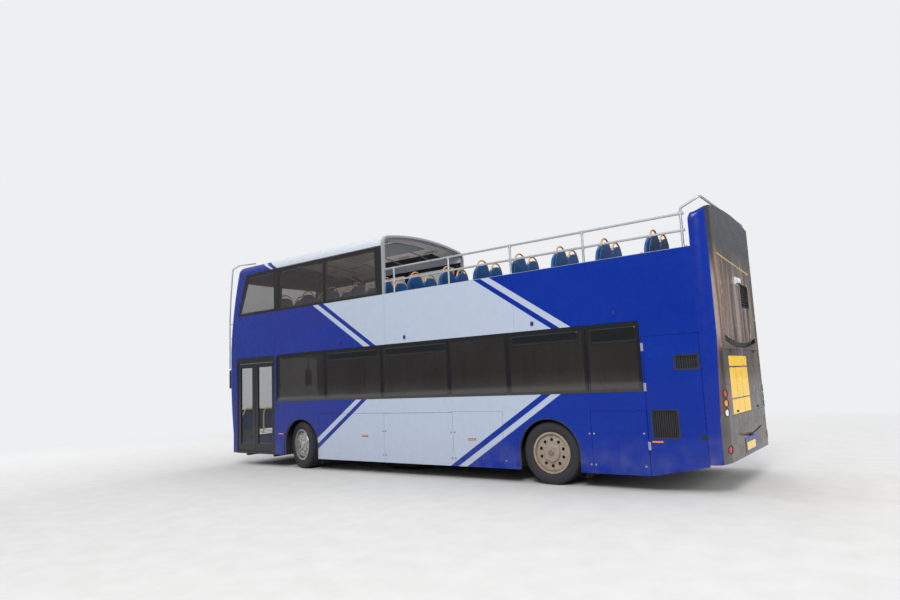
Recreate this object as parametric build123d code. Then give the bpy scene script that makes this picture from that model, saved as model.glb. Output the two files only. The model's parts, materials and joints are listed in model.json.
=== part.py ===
from build123d import *
import os
from math import atan2, cos, pi, radians, sin, sqrt

# An open top double decker bus, in millimetres.
# +X is forward, +Y is the nearside with the passenger door, and +Z is up.
# The origin is on the ground, below the middle of the bus.

# Body form
X_REAR = -5280.0
X_FRONT = 5230.0
BODY_WIDTH = 2550.0
HALF = BODY_WIDTH / 2
ROOF_TOP = 4420.0
CROWN_R = 6500.0
EAVE_R = 170.0
BOW_R = 9000.0
FRONT_CORNER_R = 150.0
REAR_CORNER_R = 200.0
WALL = 40.0
FIT = 0.5
SEAM = 5.0

# Heights of the body's joints
SKIRT_Z = 210.0
FRONT_SKIRT_Z = 255.0
REAR_SKIRT_Z = 400.0
FLAP_TOP_Z = 1072.0
SILL_Z = 1320.0
LOWER_HEAD_Z = 2290.0
FRONT_JOINT_Z = 2400.0
COAMING_Z = 3205.0
GUTTER_Z = ROOF_TOP - 310.0
REAR_TOP_Z = 3755.0
REAR_CROWN = 70.0
REAR_TOP_R = 220.0
SHOULDER_R = 200.0
BUMPER_TOP_Z = 965.0
BUMPER_BOTTOM_Z = 440.0
REAR_JOINT_Z = 2325.0
LAMP_HEIGHTS = (565.0, 1025.0, 1145.0, 1265.0)
LAMP_Y = HALF - 145.0
LAMP_R = 46.0
LEDGE_Z = 1875.0
LEDGE_H = 62.0
LEDGE_REACH = 905.0
SLOT_Z = 655.0
SLOT_H = 26.0
SLOT_REACH = 700.0
SMILE_R = 4600.0
VENT_Y0 = -700.0
VENT_Y1 = -240.0
VENT_LOW_Z = 2470.0
VENT_HIGH_Z = 2810.0

# Stations along the body
REAR_CORNER_X = -5040.0
QUARTER_X = -4280.0
FRONT_CORNER_X = 4850.0
CANOPY_END_X = 450.0
ARCH_WIDTH = 62.0
A_PILLAR_LOW_X = 4800.0
A_PILLAR_HIGH_X = 4490.0

# Axles and wheels
FRONT_AXLE_X = 2750.0
REAR_AXLE_X = -2770.0
TYRE_R = 462.0
TYRE_WIDTH = 275.0
BEAD_R = 290.0
RIM_FLANGE_R = 304.0
RIM_HALF = 118.0
BARREL_R = 272.0
TRACK_OUTER_Y = HALF - 50.0
TWIN_GAP = 50.0
KINGPIN_Y = TRACK_OUTER_Y - 235.0
STEER_REST = -15.0
ARCH_R = 503.0
SPINDLE_R = 45.0
SPINDLE_FIT = 0.3
KINGPIN_R = 25.0
NUT_COUNT = 10
AXLE_TUBE_R = 75.0
DIFF_R = 112.0

# Chassis, springs and radius rods
RAIL_IN_Y = 380.0
RAIL_OUT_Y = 450.0
RAIL_LOW_Z = 170.0
KICK_REACH = 420.0
KICK_TOP_Z = 575.0
SPRING_TOP_Z = 505.0
SPRING_X = 320.0
SPRING_R = 72.0
CARRIER_Z = 330.0
BEAM_LOW_Z = 160.0
BEAM_HIGH_Z = 222.0
ROD_REAR_X = 2010.0
ROD_FRONT_X = 2640.0
ROD_Y = 300.0
ROD_Z = 190.0
ROD_EYE = 50.0
ROD_PIN_R = 13.0

# Floors
LOWER_FLOOR_Z = 300.0
LOWER_FLOOR_T = 50.0
PLATFORM_Z = 620.0
PLATFORM_X = -1900.0
BULKHEAD_X = -4235.0
UPPER_FLOOR_Z = 2430.0
UPPER_FLOOR_T = 70.0
BOX_T = 20.0
BOX_REACH = 540.0
BOX_TOP = 1012.0
FRONT_BOX_Y = HALF - 685.0
REAR_BOX_Y = HALF - 705.0
AXLE_WAY_Z = 560.0

# Glazing
GLASS_T = 6.0
BAND_DEPTH = 8.0
PILLAR_LAP = 45.0
WINDSCREEN_LOW = (1110.0, 2330.0, HALF - 22.0, 4985.0)
WINDSCREEN_HIGH = (3130.0, ROOF_TOP - 360.0, HALF - 175.0, 4400.0)

# Passenger door
DOOR_FRONT_X = 4850.0
DOOR_REAR_X = 3550.0
DOOR_TOP_Z = 2285.0
DOOR_POST = 40.0
DOOR_HEADER = 130.0
LEAF_T = 35.0
LEAF_LOW_Z = 318.0
LEAF_FACE_Y = HALF - 7.0
LEAF_PIN_R = 10.0
LEAF_GLASS_LOW_Z = 450.0
LEAF_GLASS_HIGH_Z = 2080.0

# Towing socket under the front panel
TOW_X = 5040.0
TOW_Y = 415.0
TOW_Z = 223.0
TOW_BORE_R = 16.0
TOW_DEPTH = 90.0

# Rails, seats and stairs
RAIL_Y = HALF - 23.0
RAIL_R = 17.0
MID_RAIL_Z = 3435.0
TOP_RAIL_Z = 3665.0
HOOP_X = -4950.0
SEAT_PITCH = 727.0
SEAT_BACK_H = 1100.0
SEAT_WIDTH = 850.0
SEAT_DEPTH = 430.0
SEAT_Y = HALF - 505.0
CUSHION_H = 450.0
STAIR_FRONT_X = 2150.0
STAIR_RISERS = 10
STAIR_GOING = 170.0
STAIRWELL_FRONT_X = 1850.0
STAIR_OUT_Y = 60.0 - HALF
STAIR_IN_Y = 655.0 - HALF
POLE_Y = SEAT_Y - SEAT_WIDTH / 2 + 5.0
POLE_R = 16.0
POLE_STATIONS = (1795.0, 341.0, -1113.0, -2090.0)
CLOSE_FIT = 0.3

STAIR_END_X = STAIR_FRONT_X - STAIR_GOING * (STAIR_RISERS - 1)

os.makedirs("parts", exist_ok=True)
NODES = {}


def keep(name, shape):
    """Write one node and remember it."""
    solids = shape.solids() if hasattr(shape, "solids") else [s for one in shape for s in one.solids()]
    whole = solids[0] if len(solids) == 1 else Compound(children=list(solids))
    NODES[name] = whole
    export_step(whole, os.path.join("parts", name + ".step"))


def block(x0, x1, y0, y1, z0, z1):
    """A box between two corners."""
    size = (abs(x1 - x0), abs(y1 - y0), abs(z1 - z0))
    return Pos((x0 + x1) / 2, (y0 + y1) / 2, (z0 + z1) / 2) * Box(*size)


def rod(start, end, radius):
    """A round bar from one point to another."""
    axis = Vector(*end) - Vector(*start)
    plane = Plane(origin=Vector(*start), z_dir=axis.normalized())
    return extrude(plane * Circle(radius), axis.length)


def side_prism(points, y0, y1):
    """An outline in X and Z, carried from y0 to y1."""
    face = make_face(Polyline(*[(x, y0, z) for x, z in points], close=True).edges())
    return extrude(face, amount=abs(y1 - y0), dir=(0, 1 if y1 > y0 else -1, 0))


def tube_path(points, radius, bend):
    """A round tube along straight runs joined by arcs."""
    line = FilletPolyline(*points, radius=bend)
    start = line @ 0
    return sweep(Plane(origin=start, z_dir=line % 0) * Circle(radius), path=line)


# Body form: a constant cross section cut by a raked and bowed front

def section_face(inset):
    """The cross section: straight sides, rounded eaves and an arched roof."""
    half = HALF - inset
    eave_r = EAVE_R - inset
    crown_r = CROWN_R - inset
    centre_z = ROOF_TOP - CROWN_R
    eave_y = HALF - EAVE_R
    reach = CROWN_R - EAVE_R
    eave_z = centre_z + sqrt(reach * reach - eave_y * eave_y)
    turn = atan2(eave_z - centre_z, eave_y)
    join = (eave_y * crown_r / reach, centre_z + (eave_z - centre_z) * crown_r / reach)
    middle = (eave_y + eave_r * cos(turn / 2), eave_z + eave_r * sin(turn / 2))
    with BuildSketch(Plane.YZ) as sketch:
        with BuildLine():
            Polyline((half, eave_z), (half, -200 - inset), (-half, -200 - inset), (-half, eave_z))
            ThreePointArc((half, eave_z), middle, join)
            ThreePointArc(join, (0, ROOF_TOP - inset), (-join[0], join[1]))
            ThreePointArc((-join[0], join[1]), (-middle[0], middle[1]), (-half, eave_z))
        make_face()
    return sketch.sketch


def front_cutter(inset):
    """The space behind the front face: raked arcs turned about a far upright axis."""
    front = X_FRONT - inset
    high = ROOF_TOP + 280
    with BuildSketch(Plane.XZ) as sketch:
        with BuildLine():
            ThreePointArc((front - 170, 100), (front - 58, 850), (front, 1850))
            Line((front, 1850), (front, 2450))
            ThreePointArc((front, 2450), (front - 165, ROOF_TOP - 770), (front - 480, high))
            Polyline((front - 480, high), (0, high), (0, -400), (front - 170, -400), (front - 170, 100))
        make_face()
    centre = X_FRONT - BOW_R
    solid = revolve(sketch.sketch, Axis((centre, 0, 0), (0, 0, 1)), 24)
    turned = Pos(centre, 0, 0) * Rot(0, 0, -12) * Pos(-centre, 0, 0) * solid
    return turned + block(X_REAR - 1000, X_FRONT - 1800, -HALF - 100, HALF + 100, -400, high)


def body_form(inset):
    """The closed outer form of the body, moved inwards by inset."""
    length = X_FRONT - X_REAR + 500
    body = extrude(Pos(X_REAR + inset, 0, 0) * section_face(inset), amount=length)
    body = body & front_cutter(inset)
    rear_edges = body.edges().filter_by(Axis.Z).sort_by(Axis.X)[:2]
    body = fillet(rear_edges, REAR_CORNER_R - inset)
    front_faces = [f for f in body.faces() if f.center().X > 4000 and f.normal_at().X > 0.6]
    rim = []
    for face in front_faces:
        for edge in face.edges():
            shared = sum(1 for other in front_faces for e in other.edges() if e.is_same(edge))
            if shared == 1 and edge.center().Z > 0:
                rim.append(edge)
    return fillet(rim, FRONT_CORNER_R - inset)


OUTER = body_form(0)
INNER = body_form(WALL)
SHELL = OUTER - INNER
ROOM = body_form(WALL + FIT)
GLASS_SKIN = body_form(1.0) - body_form(1.0 + GLASS_T)


def room_slab(x0, x1, z0, z1):
    """A slab that fits inside the walls."""
    return ROOM & block(x0, x1, -HALF, HALF, z0, z1)


def below_skirt():
    """Everything below the skirt line, which rises behind the rear axle."""
    line = [(X_REAR - 200, -300), (X_FRONT + 200, -300), (X_FRONT + 200, FRONT_SKIRT_Z)]
    line += [(FRONT_AXLE_X + 200, FRONT_SKIRT_Z), (FRONT_AXLE_X - 200, SKIRT_Z)]
    slope = (REAR_SKIRT_Z - SKIRT_Z) / (QUARTER_X - X_REAR)
    line += [(QUARTER_X, SKIRT_Z), (X_REAR - 200, SKIRT_Z + slope * (QUARTER_X - X_REAR + 200))]
    return side_prism(line, -HALF - 200, HALF + 200)


def arch_cutter(axle_x):
    """The wheel opening through both sides: round above the hub and upright below it."""
    arch = Pos(axle_x, 0, TYRE_R) * Rot(90, 0, 0) * Cylinder(ARCH_R, BODY_WIDTH + 400)
    return arch + block(axle_x - ARCH_R, axle_x + ARCH_R, -HALF - 200, HALF + 200, -300, TYRE_R)


UNDER = below_skirt()
ARCHES = arch_cutter(FRONT_AXLE_X) + arch_cutter(REAR_AXLE_X)

# Saloon windows: front edge and rear edge of each pane, the same on both sides
SALOON_PANES = [
    (3460, 2013),
    (2007, 523),
    (517, -987),
    (-993, -2137),
    (-2143, -3457),
    (-3463, -4255),
]

# Canopy windows: front edge and rear edge, the first one slants with the front pillar
CANOPY_PANES = [(3373, 1993), (1987, 585)]
CANOPY_FIRST = (A_PILLAR_LOW_X - 30, A_PILLAR_HIGH_X - 30, 3379)

# Grilles of the engine side door: rear, front, low and high edge, and the count of slats
SIDE_GRILLES = [
    ((-4690, -4347, 707, 1069), 11),
    ((-5012, -4713, 1604, 1782), 9),
]

# Skirt flaps on the nearside: name, front edge and rear edge
FLAPS = [
    ("skirt_flap_front", 2222, 505),
    ("skirt_flap_middle", 500, -1015),
    ("skirt_flap_rear", -3465, -4270),
]


def saloon_cut(sign):
    """The recess of the glass band and the window holes behind it, on one side."""
    front = SALOON_PANES[0][0] + 2
    rear = SALOON_PANES[-1][1] - 2
    outer = sign * (HALF + 50)
    band = block(rear, front, sign * (HALF - BAND_DEPTH), outer, SILL_Z, LOWER_HEAD_Z)
    holes = []
    for ahead, behind in SALOON_PANES:
        hole = block(
            behind + PILLAR_LAP, ahead - PILLAR_LAP,
            sign * (HALF - 200), outer,
            SILL_Z + PILLAR_LAP, LOWER_HEAD_Z - 60,
        )
        holes.append(fillet(hole.edges().filter_by(Axis.Y), 40))
    return band, holes


def lower_side(sign):
    """A lower side wall, without the pieces that open in it."""
    front = FRONT_CORNER_X
    wall = SHELL & block(REAR_CORNER_X, front, sign * (HALF - 80), sign * (HALF + 50), 0, LOWER_HEAD_Z)
    band, holes = saloon_cut(sign)
    wall = wall - band - ARCHES - UNDER
    for hole in holes:
        wall = wall - hole
    return wall


def flap_hole(front, rear, low, high):
    """The opening of a skirt flap on the nearside, with a lip behind its edges."""
    lip = 22
    outer = block(rear - SEAM, front + SEAM, HALF - 30.3, HALF + 50, low, high + SEAM)
    inner = block(rear + lip, front - lip, HALF - 100, HALF, low, high - lip)
    return outer + inner


def build_lower_walls():
    """Both lower walls, the flaps, the engine side door and the saloon glass."""
    near = lower_side(1)
    for name, front, rear in FLAPS:
        near = near - flap_hole(front, rear, 0, FLAP_TOP_Z - SEAM)
        flap = block(rear, front, HALF - 30, HALF, 0, FLAP_TOP_Z - SEAM) - UNDER
        keep(name, flap)
    door_hole = block(DOOR_REAR_X, DOOR_FRONT_X, HALF - 100, HALF + 100, 0, DOOR_TOP_Z)
    near = near - door_hole
    side_high = 2060.0
    side_low = 0.0
    quarter = block(REAR_CORNER_X, QUARTER_X, HALF - 30.3, HALF + 50, side_low, side_high + SEAM)
    inner = block(REAR_CORNER_X - 10, QUARTER_X - 22, HALF - 100, HALF, side_low, side_high - 22)
    near = near - quarter - inner
    keep("lower_side_nearside", near)
    door = block(REAR_CORNER_X + SEAM, QUARTER_X - SEAM, HALF - 30, HALF, side_low, side_high) - UNDER
    grilles = []
    for (x0, x1, z0, z1), count in SIDE_GRILLES:
        door = door - block(x0, x1, HALF - 60, HALF + 20, z0, z1)
        grilles.append(slatted(x0, x1, z0, z1, HALF - 26, 20, count))
    keep("engine_side_door", door)
    keep("side_grilles", grilles)

    far = lower_side(-1)
    cab_band = block(3470, FRONT_CORNER_X, -HALF + BAND_DEPTH, -HALF - 50, 1200, LOWER_HEAD_Z)
    cab_hole = block(3530, FRONT_CORNER_X - 60, -HALF + 200, -HALF - 50, 1245, LOWER_HEAD_Z - 60)
    radiator_hole = block(-4900, -4330, -HALF + 100, -HALF - 50, 620, 1450)
    far = far - cab_band - fillet(cab_hole.edges().filter_by(Axis.Y), 40) - radiator_hole
    keep("lower_side_offside", far)
    radiator = slatted(-4900, -4330, 620, 1450, -HALF + 6, 20, 16)
    keep("fixed_grilles", [radiator, (body_form(10.0) - body_form(30.0)) & front_bars(), rear_vent()])

    panes = []
    for sign in (1, -1):
        for ahead, behind in SALOON_PANES:
            inner_y = sign * (HALF - BAND_DEPTH)
            outer_y = sign * (HALF - BAND_DEPTH + GLASS_T)
            panes.append(block(behind, ahead, inner_y, outer_y, SILL_Z + 3, LOWER_HEAD_Z - 3))
    cab_in = -HALF + BAND_DEPTH
    panes.append(block(3474, FRONT_CORNER_X - 6, cab_in, cab_in - GLASS_T, 1204, LOWER_HEAD_Z - 3))
    keep("saloon_glass", panes)


def slatted(x0, x1, z0, z1, y0, depth, count):
    """A grille of slats in a frame, in a side wall."""
    hole = block(x0 + 12, x1 - 12, y0 - 5, y0 + depth + 5, z0 + 12, z1 - 12)
    frame = block(x0, x1, y0, y0 + depth, z0, z1) - hole
    pitch = (x1 - x0 - 24) / count
    for i in range(count):
        x = x0 + 12 + pitch * (i + 0.25)
        middle = Pos(x + pitch / 4, y0 + depth / 2, (z0 + z1) / 2)
        frame += middle * Rot(0, 0, 35) * Box(pitch * 0.5, 4, z1 - z0 - 12)
    return frame


def rear_vent():
    """A grille of level slats in the rear upper panel."""
    x0, x1 = X_REAR + 4, X_REAR + 24
    frame = block(x0, x1, VENT_Y0 + FIT, VENT_Y1 - FIT, VENT_LOW_Z + FIT, VENT_HIGH_Z - FIT)
    frame = frame - block(x0 - 5, x1 + 5, VENT_Y0 + 12, VENT_Y1 - 12, VENT_LOW_Z + 12, VENT_HIGH_Z - 12)
    pitch = (VENT_HIGH_Z - VENT_LOW_Z - 24) / 9
    for i in range(9):
        z = VENT_LOW_Z + 12 + pitch * (i + 0.5)
        middle = Pos((x0 + x1) / 2, (VENT_Y0 + VENT_Y1) / 2, z)
        frame += middle * Rot(0, 35, 0) * Box(4, VENT_Y1 - VENT_Y0 - 12, pitch * 0.55)
    return frame


def build_door():
    """The black door frame and the two leaves that swing inwards on their outer posts."""
    low = LOWER_FLOOR_Z - LOWER_FLOOR_T
    top = DOOR_TOP_Z
    outer = block(DOOR_REAR_X, DOOR_FRONT_X, HALF - WALL, HALF - 4, low, top)
    rear_in = DOOR_REAR_X + DOOR_POST
    front_in = DOOR_FRONT_X - DOOR_POST
    header = top - DOOR_HEADER
    frame = outer - block(rear_in, front_in, HALF - 200, HALF + 50, LOWER_FLOOR_Z, header)
    leaf_y = LEAF_FACE_Y - LEAF_T / 2
    leaf_high = header - SEAM
    middle = (rear_in + front_in) / 2
    # name, post end, free end, window near the post, window near the middle
    leaves = [
        ("front", front_in - SEAM, middle + 3, 4710, 4310),
        ("rear", rear_in + SEAM, middle - 3, 3650, 4110),
    ]
    for name, post, free, glass_a, glass_b in leaves:
        inward = 1 if free > post else -1
        leaf = block(post, free, leaf_y - LEAF_T / 2, leaf_y + LEAF_T / 2, LEAF_LOW_Z, leaf_high)
        edges = leaf.edges().filter_by(Axis.Z)
        edges = [e for e in edges if abs(e.center().X - post) < 1]
        leaf = fillet(edges, LEAF_T / 2 - 0.2)
        window = block(glass_a, glass_b, leaf_y - 50, leaf_y + 50, LEAF_GLASS_LOW_Z, LEAF_GLASS_HIGH_Z)
        pivot_x = post + inward * LEAF_T / 2
        pin = rod((pivot_x, leaf_y, LOWER_FLOOR_Z - 20), (pivot_x, leaf_y, header + 20), LEAF_PIN_R)
        bore = rod((pivot_x, leaf_y, LOWER_FLOOR_Z - 25), (pivot_x, leaf_y, header + 25), LEAF_PIN_R + 0.3)
        frame = frame - bore
        leaf = (leaf + pin) - window
        keep("door_leaf_" + name, leaf)
        pane_in, pane_out = leaf_y - GLASS_T / 2, leaf_y + GLASS_T / 2
        pane = block(glass_a, glass_b, pane_in, pane_out, LEAF_GLASS_LOW_Z, LEAF_GLASS_HIGH_Z)
        keep("door_glass_" + name, pane)
    keep("door_frame", frame)


def pillar_region(sign):
    """The black side of the canopy, behind the slanted front pillar."""
    outline = [
        (CANOPY_END_X, COAMING_Z), (A_PILLAR_LOW_X, COAMING_Z),
        (A_PILLAR_HIGH_X, GUTTER_Z), (CANOPY_END_X, GUTTER_Z),
    ]
    return side_prism(outline, sign * (HALF - 60), sign * (HALF + 60))


def first_window(lap, sign):
    """The slanted first window of the canopy, made smaller by lap."""
    low_x, high_x, rear_x = CANOPY_FIRST
    low, high = COAMING_Z + 20 + lap, GUTTER_Z - 30 - lap
    outline = [(rear_x + lap, low), (low_x - lap, low), (high_x - lap, high), (rear_x + lap, high)]
    return side_prism(outline, sign * (HALF - 100), sign * (HALF + 100))


def build_upper_body():
    """Upper side panels, canopy sides, canopy glass, roof and the arch that ends it."""
    sides = []
    panes = []
    for sign, name in ((1, "nearside"), (-1, "offside")):
        y0, y1 = sign * (HALF - 60), sign * (HALF + 60)
        panel = SHELL & block(REAR_CORNER_X, FRONT_CORNER_X, y0, y1, LOWER_HEAD_Z, COAMING_Z)
        keep("upper_side_" + name, panel)
        side = SHELL & pillar_region(sign)
        y0, y1 = sign * (HALF - BAND_DEPTH), sign * (HALF + 60)
        skin = block(577, 6000, y0, y1, COAMING_Z + 17, GUTTER_Z - 27)
        rear_x = CANOPY_FIRST[2]
        band = first_window(-3, sign) + block(500, rear_x, sign * HALF / 2, sign * HALF * 2, 0, 5000)
        side = side - (skin & band)
        side = side - first_window(PILLAR_LAP, sign)
        glass_in, glass_out = sign * (HALF - BAND_DEPTH), sign * (HALF - BAND_DEPTH + GLASS_T)
        panes.append(first_window(0, sign) & block(0, 6000, glass_in, glass_out, 0, 5000))
        for ahead, behind in CANOPY_PANES:
            hole = block(
                behind + PILLAR_LAP, ahead - PILLAR_LAP,
                sign * (HALF - 100), sign * (HALF + 100),
                COAMING_Z + 20 + PILLAR_LAP, GUTTER_Z - 30 - PILLAR_LAP,
            )
            side = side - fillet(hole.edges().filter_by(Axis.Y), 40)
            panes.append(block(behind, ahead, glass_in, glass_out, COAMING_Z + 20, GUTTER_Z - 30))
        sides.append(side)
    keep("canopy_pillars", sides)
    keep("canopy_glass", panes)
    roof = SHELL & block(CANOPY_END_X, A_PILLAR_HIGH_X, -HALF - 50, HALF + 50, GUTTER_Z, ROOF_TOP + 50)
    keep("canopy_roof", roof)
    arch = block(CANOPY_END_X - ARCH_WIDTH, CANOPY_END_X, -HALF - 50, HALF + 50, COAMING_Z, ROOF_TOP + 50)
    arch = SHELL & arch
    keep("canopy_arch", arch)


def build_front():
    """Front panels with the screens cut, and the two bowed screens."""
    ahead = block(FRONT_CORNER_X, X_FRONT + 100, -HALF - 50, HALF + 50, 0, COAMING_Z)
    pillar = [
        (A_PILLAR_LOW_X, COAMING_Z), (X_FRONT + 100, COAMING_Z),
        (X_FRONT + 100, ROOF_TOP + 50), (A_PILLAR_HIGH_X, ROOF_TOP + 50), (A_PILLAR_HIGH_X, GUTTER_Z),
    ]
    above = side_prism(pillar, -HALF - 50, HALF + 50)
    glass = []
    holes = []
    for low, high, reach, start in (WINDSCREEN_LOW, WINDSCREEN_HIGH):
        for lap, out in ((0, holes), (0.5, glass)):
            hole = block(start + lap, X_FRONT + 100, -reach + lap, reach - lap, low + lap, high - lap)
            hole = fillet(hole.edges().filter_by(Axis.X), 90)
            out.append(hole)
    front = (SHELL & (ahead + above)) - holes[0] - holes[1] - UNDER
    cut = block(4000, X_FRONT + 100, -HALF - 50, HALF + 50, FRONT_JOINT_Z, ROOF_TOP + 50)
    keep("front_upper_panel", front & cut)
    low_front = front - cut
    lamp_holes = []
    for sign in (1, -1):
        lamp_holes.append(block(4900, X_FRONT + 100, sign * (HALF - 555), sign * (HALF - 155), 560, 730))
    grille_hole = block(4900, X_FRONT + 100, 755 - HALF, HALF - 755, 560, 700)
    for hole in lamp_holes + [grille_hole]:
        low_front = low_front - hole
    keep("front_lower_panel", low_front)
    lens_skin = body_form(6.0) - body_form(36.0)
    lenses = []
    for s in (1, -1):
        y0, y1 = s * (HALF - 555 + FIT), s * (HALF - 155 - FIT)
        lenses.append(lens_skin & block(4900, X_FRONT + 100, y0, y1, 560 + FIT, 730 - FIT))
    keep("head_lamps", lenses)
    keep("windscreens", [GLASS_SKIN & g for g in glass])


def front_bars():
    """The frame and bars of the front grille."""
    reach = HALF - 755 - FIT
    bars = block(4900, X_FRONT + 100, -reach, reach, 560 + FIT, 700 - FIT)
    for i in range(4):
        z = 572 + 31.5 * i
        bars = bars - block(4800, X_FRONT + 200, 15 - reach, reach - 15, z, z + 20)
    return bars


def rear_top_outline():
    """The space above the rear panel: a low crown with rounded corners, seen from behind."""
    r = REAR_TOP_R
    low = REAR_TOP_Z - r
    near = r * (1 - sqrt(0.5))
    out = HALF + 60
    with BuildSketch(Plane.YZ) as top:
        with BuildLine():
            Polyline((-HALF, low), (-out, low), (-out, 5000), (out, 5000), (out, low), (HALF, low))
            ThreePointArc((HALF, low), (HALF - near, REAR_TOP_Z - near), (HALF - r, REAR_TOP_Z))
            ThreePointArc((HALF - r, REAR_TOP_Z), (0, REAR_TOP_Z + REAR_CROWN), (r - HALF, REAR_TOP_Z))
            ThreePointArc((r - HALF, REAR_TOP_Z), (near - HALF, REAR_TOP_Z - near), (-HALF, low))
        make_face()
    return top.sketch


def smile(z, height, reach, depth):
    """A recess across the rear face that rises towards both ends."""
    ring = Cylinder(SMILE_R, 400) - Cylinder(SMILE_R - height, 500)
    ring = Pos(X_REAR, 0, z + SMILE_R) * Rot(0, 90, 0) * ring
    return ring & block(X_REAR - 50, X_REAR + depth, -reach, reach, z - 50, z + 400)


def build_rear():
    """Rear upper panel, the surround, the engine door and the bumper."""
    corner = block(X_REAR - 100, REAR_CORNER_X, -HALF - 50, HALF + 50, 0, 5000)
    rear = SHELL & corner
    trim = extrude(Pos(X_REAR - 200, 0, 0) * rear_top_outline(), amount=900)
    shoulder_x, shoulder_z = REAR_CORNER_X - SHOULDER_R, REAR_TOP_Z - SHOULDER_R
    shoulder = block(shoulder_x, REAR_CORNER_X + 50, -HALF - 50, HALF + 50, shoulder_z, ROOF_TOP)
    round_bar = Rot(90, 0, 0) * Cylinder(SHOULDER_R, BODY_WIDTH + 300)
    shoulder = shoulder - Pos(shoulder_x, 0, shoulder_z) * round_bar
    rear = rear - trim - shoulder
    upper = rear & block(X_REAR - 100, X_FRONT, -HALF - 50, HALF + 50, REAR_JOINT_Z, 5000)
    upper = upper - block(X_REAR - 50, X_REAR + 100, VENT_Y0, VENT_Y1, VENT_LOW_Z, VENT_HIGH_Z)
    keep("rear_upper_panel", upper)
    surround = rear & block(X_REAR - 100, X_FRONT, -HALF - 50, HALF + 50, BUMPER_TOP_Z, REAR_JOINT_Z)
    reach, low, high = HALF - 265.0, 975.0, 1835.0
    door_hole = block(X_REAR - 50, X_REAR + 30.3, -reach - SEAM, reach + SEAM, low - SEAM, high + SEAM)
    inner = block(X_REAR - 50, X_REAR + 200, -reach + 22, reach - 22, low + 22, high - 22)
    surround = surround - door_hole - inner - smile(LEDGE_Z, LEDGE_H, LEDGE_REACH, 26)
    bumper = rear & block(X_REAR - 100, X_FRONT, -HALF - 50, HALF + 50, BUMPER_BOTTOM_Z - 60, BUMPER_TOP_Z)
    bumper = bumper - smile(SLOT_Z, SLOT_H, SLOT_REACH, 22)
    skin = body_form(3.0) - body_form(WALL - 8)
    lenses = []
    for sign in (1, -1):
        for z in LAMP_HEIGHTS:
            hole = rod((X_REAR - 20, sign * LAMP_Y, z), (X_REAR + 150, sign * LAMP_Y, z), LAMP_R)
            surround = surround - hole
            bumper = bumper - hole
            lens = rod((X_REAR - 20, sign * LAMP_Y, z), (X_REAR + 150, sign * LAMP_Y, z), LAMP_R - FIT)
            lenses.append(skin & lens)
    keep("rear_lamps", lenses)
    keep("rear_surround", surround)
    keep("engine_door", block(X_REAR, X_REAR + 30, -reach, reach, low, high) & OUTER)
    keep("rear_bumper", bumper - UNDER)


def build_floors():
    """Lower floor, rear platform with its bulkhead, wheel boxes and upper floor."""
    boxes = []
    outlines = []
    for axle_x, inner_y in ((FRONT_AXLE_X, FRONT_BOX_Y), (REAR_AXLE_X, REAR_BOX_Y)):
        for sign in (1, -1):
            x0, x1 = axle_x - BOX_REACH - BOX_T, axle_x + BOX_REACH + BOX_T
            y0, y1 = sign * inner_y, sign * (HALF - WALL - FIT)
            low = LOWER_FLOOR_Z - LOWER_FLOOR_T
            whole = block(x0, x1, y0, y1, low, BOX_TOP)
            hollow = block(x0 + BOX_T, x1 - BOX_T, y0 + sign * BOX_T, y1 + sign * 50, low - 50,
                           BOX_TOP - BOX_T)
            axle_way = block(axle_x - 110, axle_x + 110, y0 - sign * 50, y0 + sign * 60, 0, AXLE_WAY_Z)
            boxes.append(whole - hollow - axle_way)
            outlines.append(block(x0 - FIT, x1 + FIT, y0 - sign * FIT, y1 + sign * 100, 0, BOX_TOP + FIT))
    keep("wheel_boxes", boxes)
    floor = room_slab(PLATFORM_X, FRONT_CORNER_X, LOWER_FLOOR_Z - LOWER_FLOOR_T, LOWER_FLOOR_Z)
    platform = room_slab(BULKHEAD_X, PLATFORM_X, LOWER_FLOOR_Z - LOWER_FLOOR_T, PLATFORM_Z)
    platform = platform - block(BULKHEAD_X + 30, PLATFORM_X - 30, -HALF, HALF, 0, PLATFORM_Z - 40)
    platform = platform - block(BULKHEAD_X - 10, BULKHEAD_X + 40, -HALF, HALF, 0, PLATFORM_Z - 40)
    bulkhead = room_slab(BULKHEAD_X, BULKHEAD_X + 30, PLATFORM_Z, UPPER_FLOOR_Z - UPPER_FLOOR_T)
    platform = platform + bulkhead
    for outline in outlines:
        floor = floor - outline
        platform = platform - outline
    keep("lower_floor", floor)
    keep("rear_platform", platform)
    upper = room_slab(X_REAR, X_FRONT, UPPER_FLOOR_Z - UPPER_FLOOR_T, UPPER_FLOOR_Z)
    stairwell = block(STAIR_END_X - FIT, STAIRWELL_FRONT_X, WALL + 15 - HALF, STAIR_IN_Y + 20, 2000, 3000)
    upper = upper - stairwell
    keep("upper_floor", upper)


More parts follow.
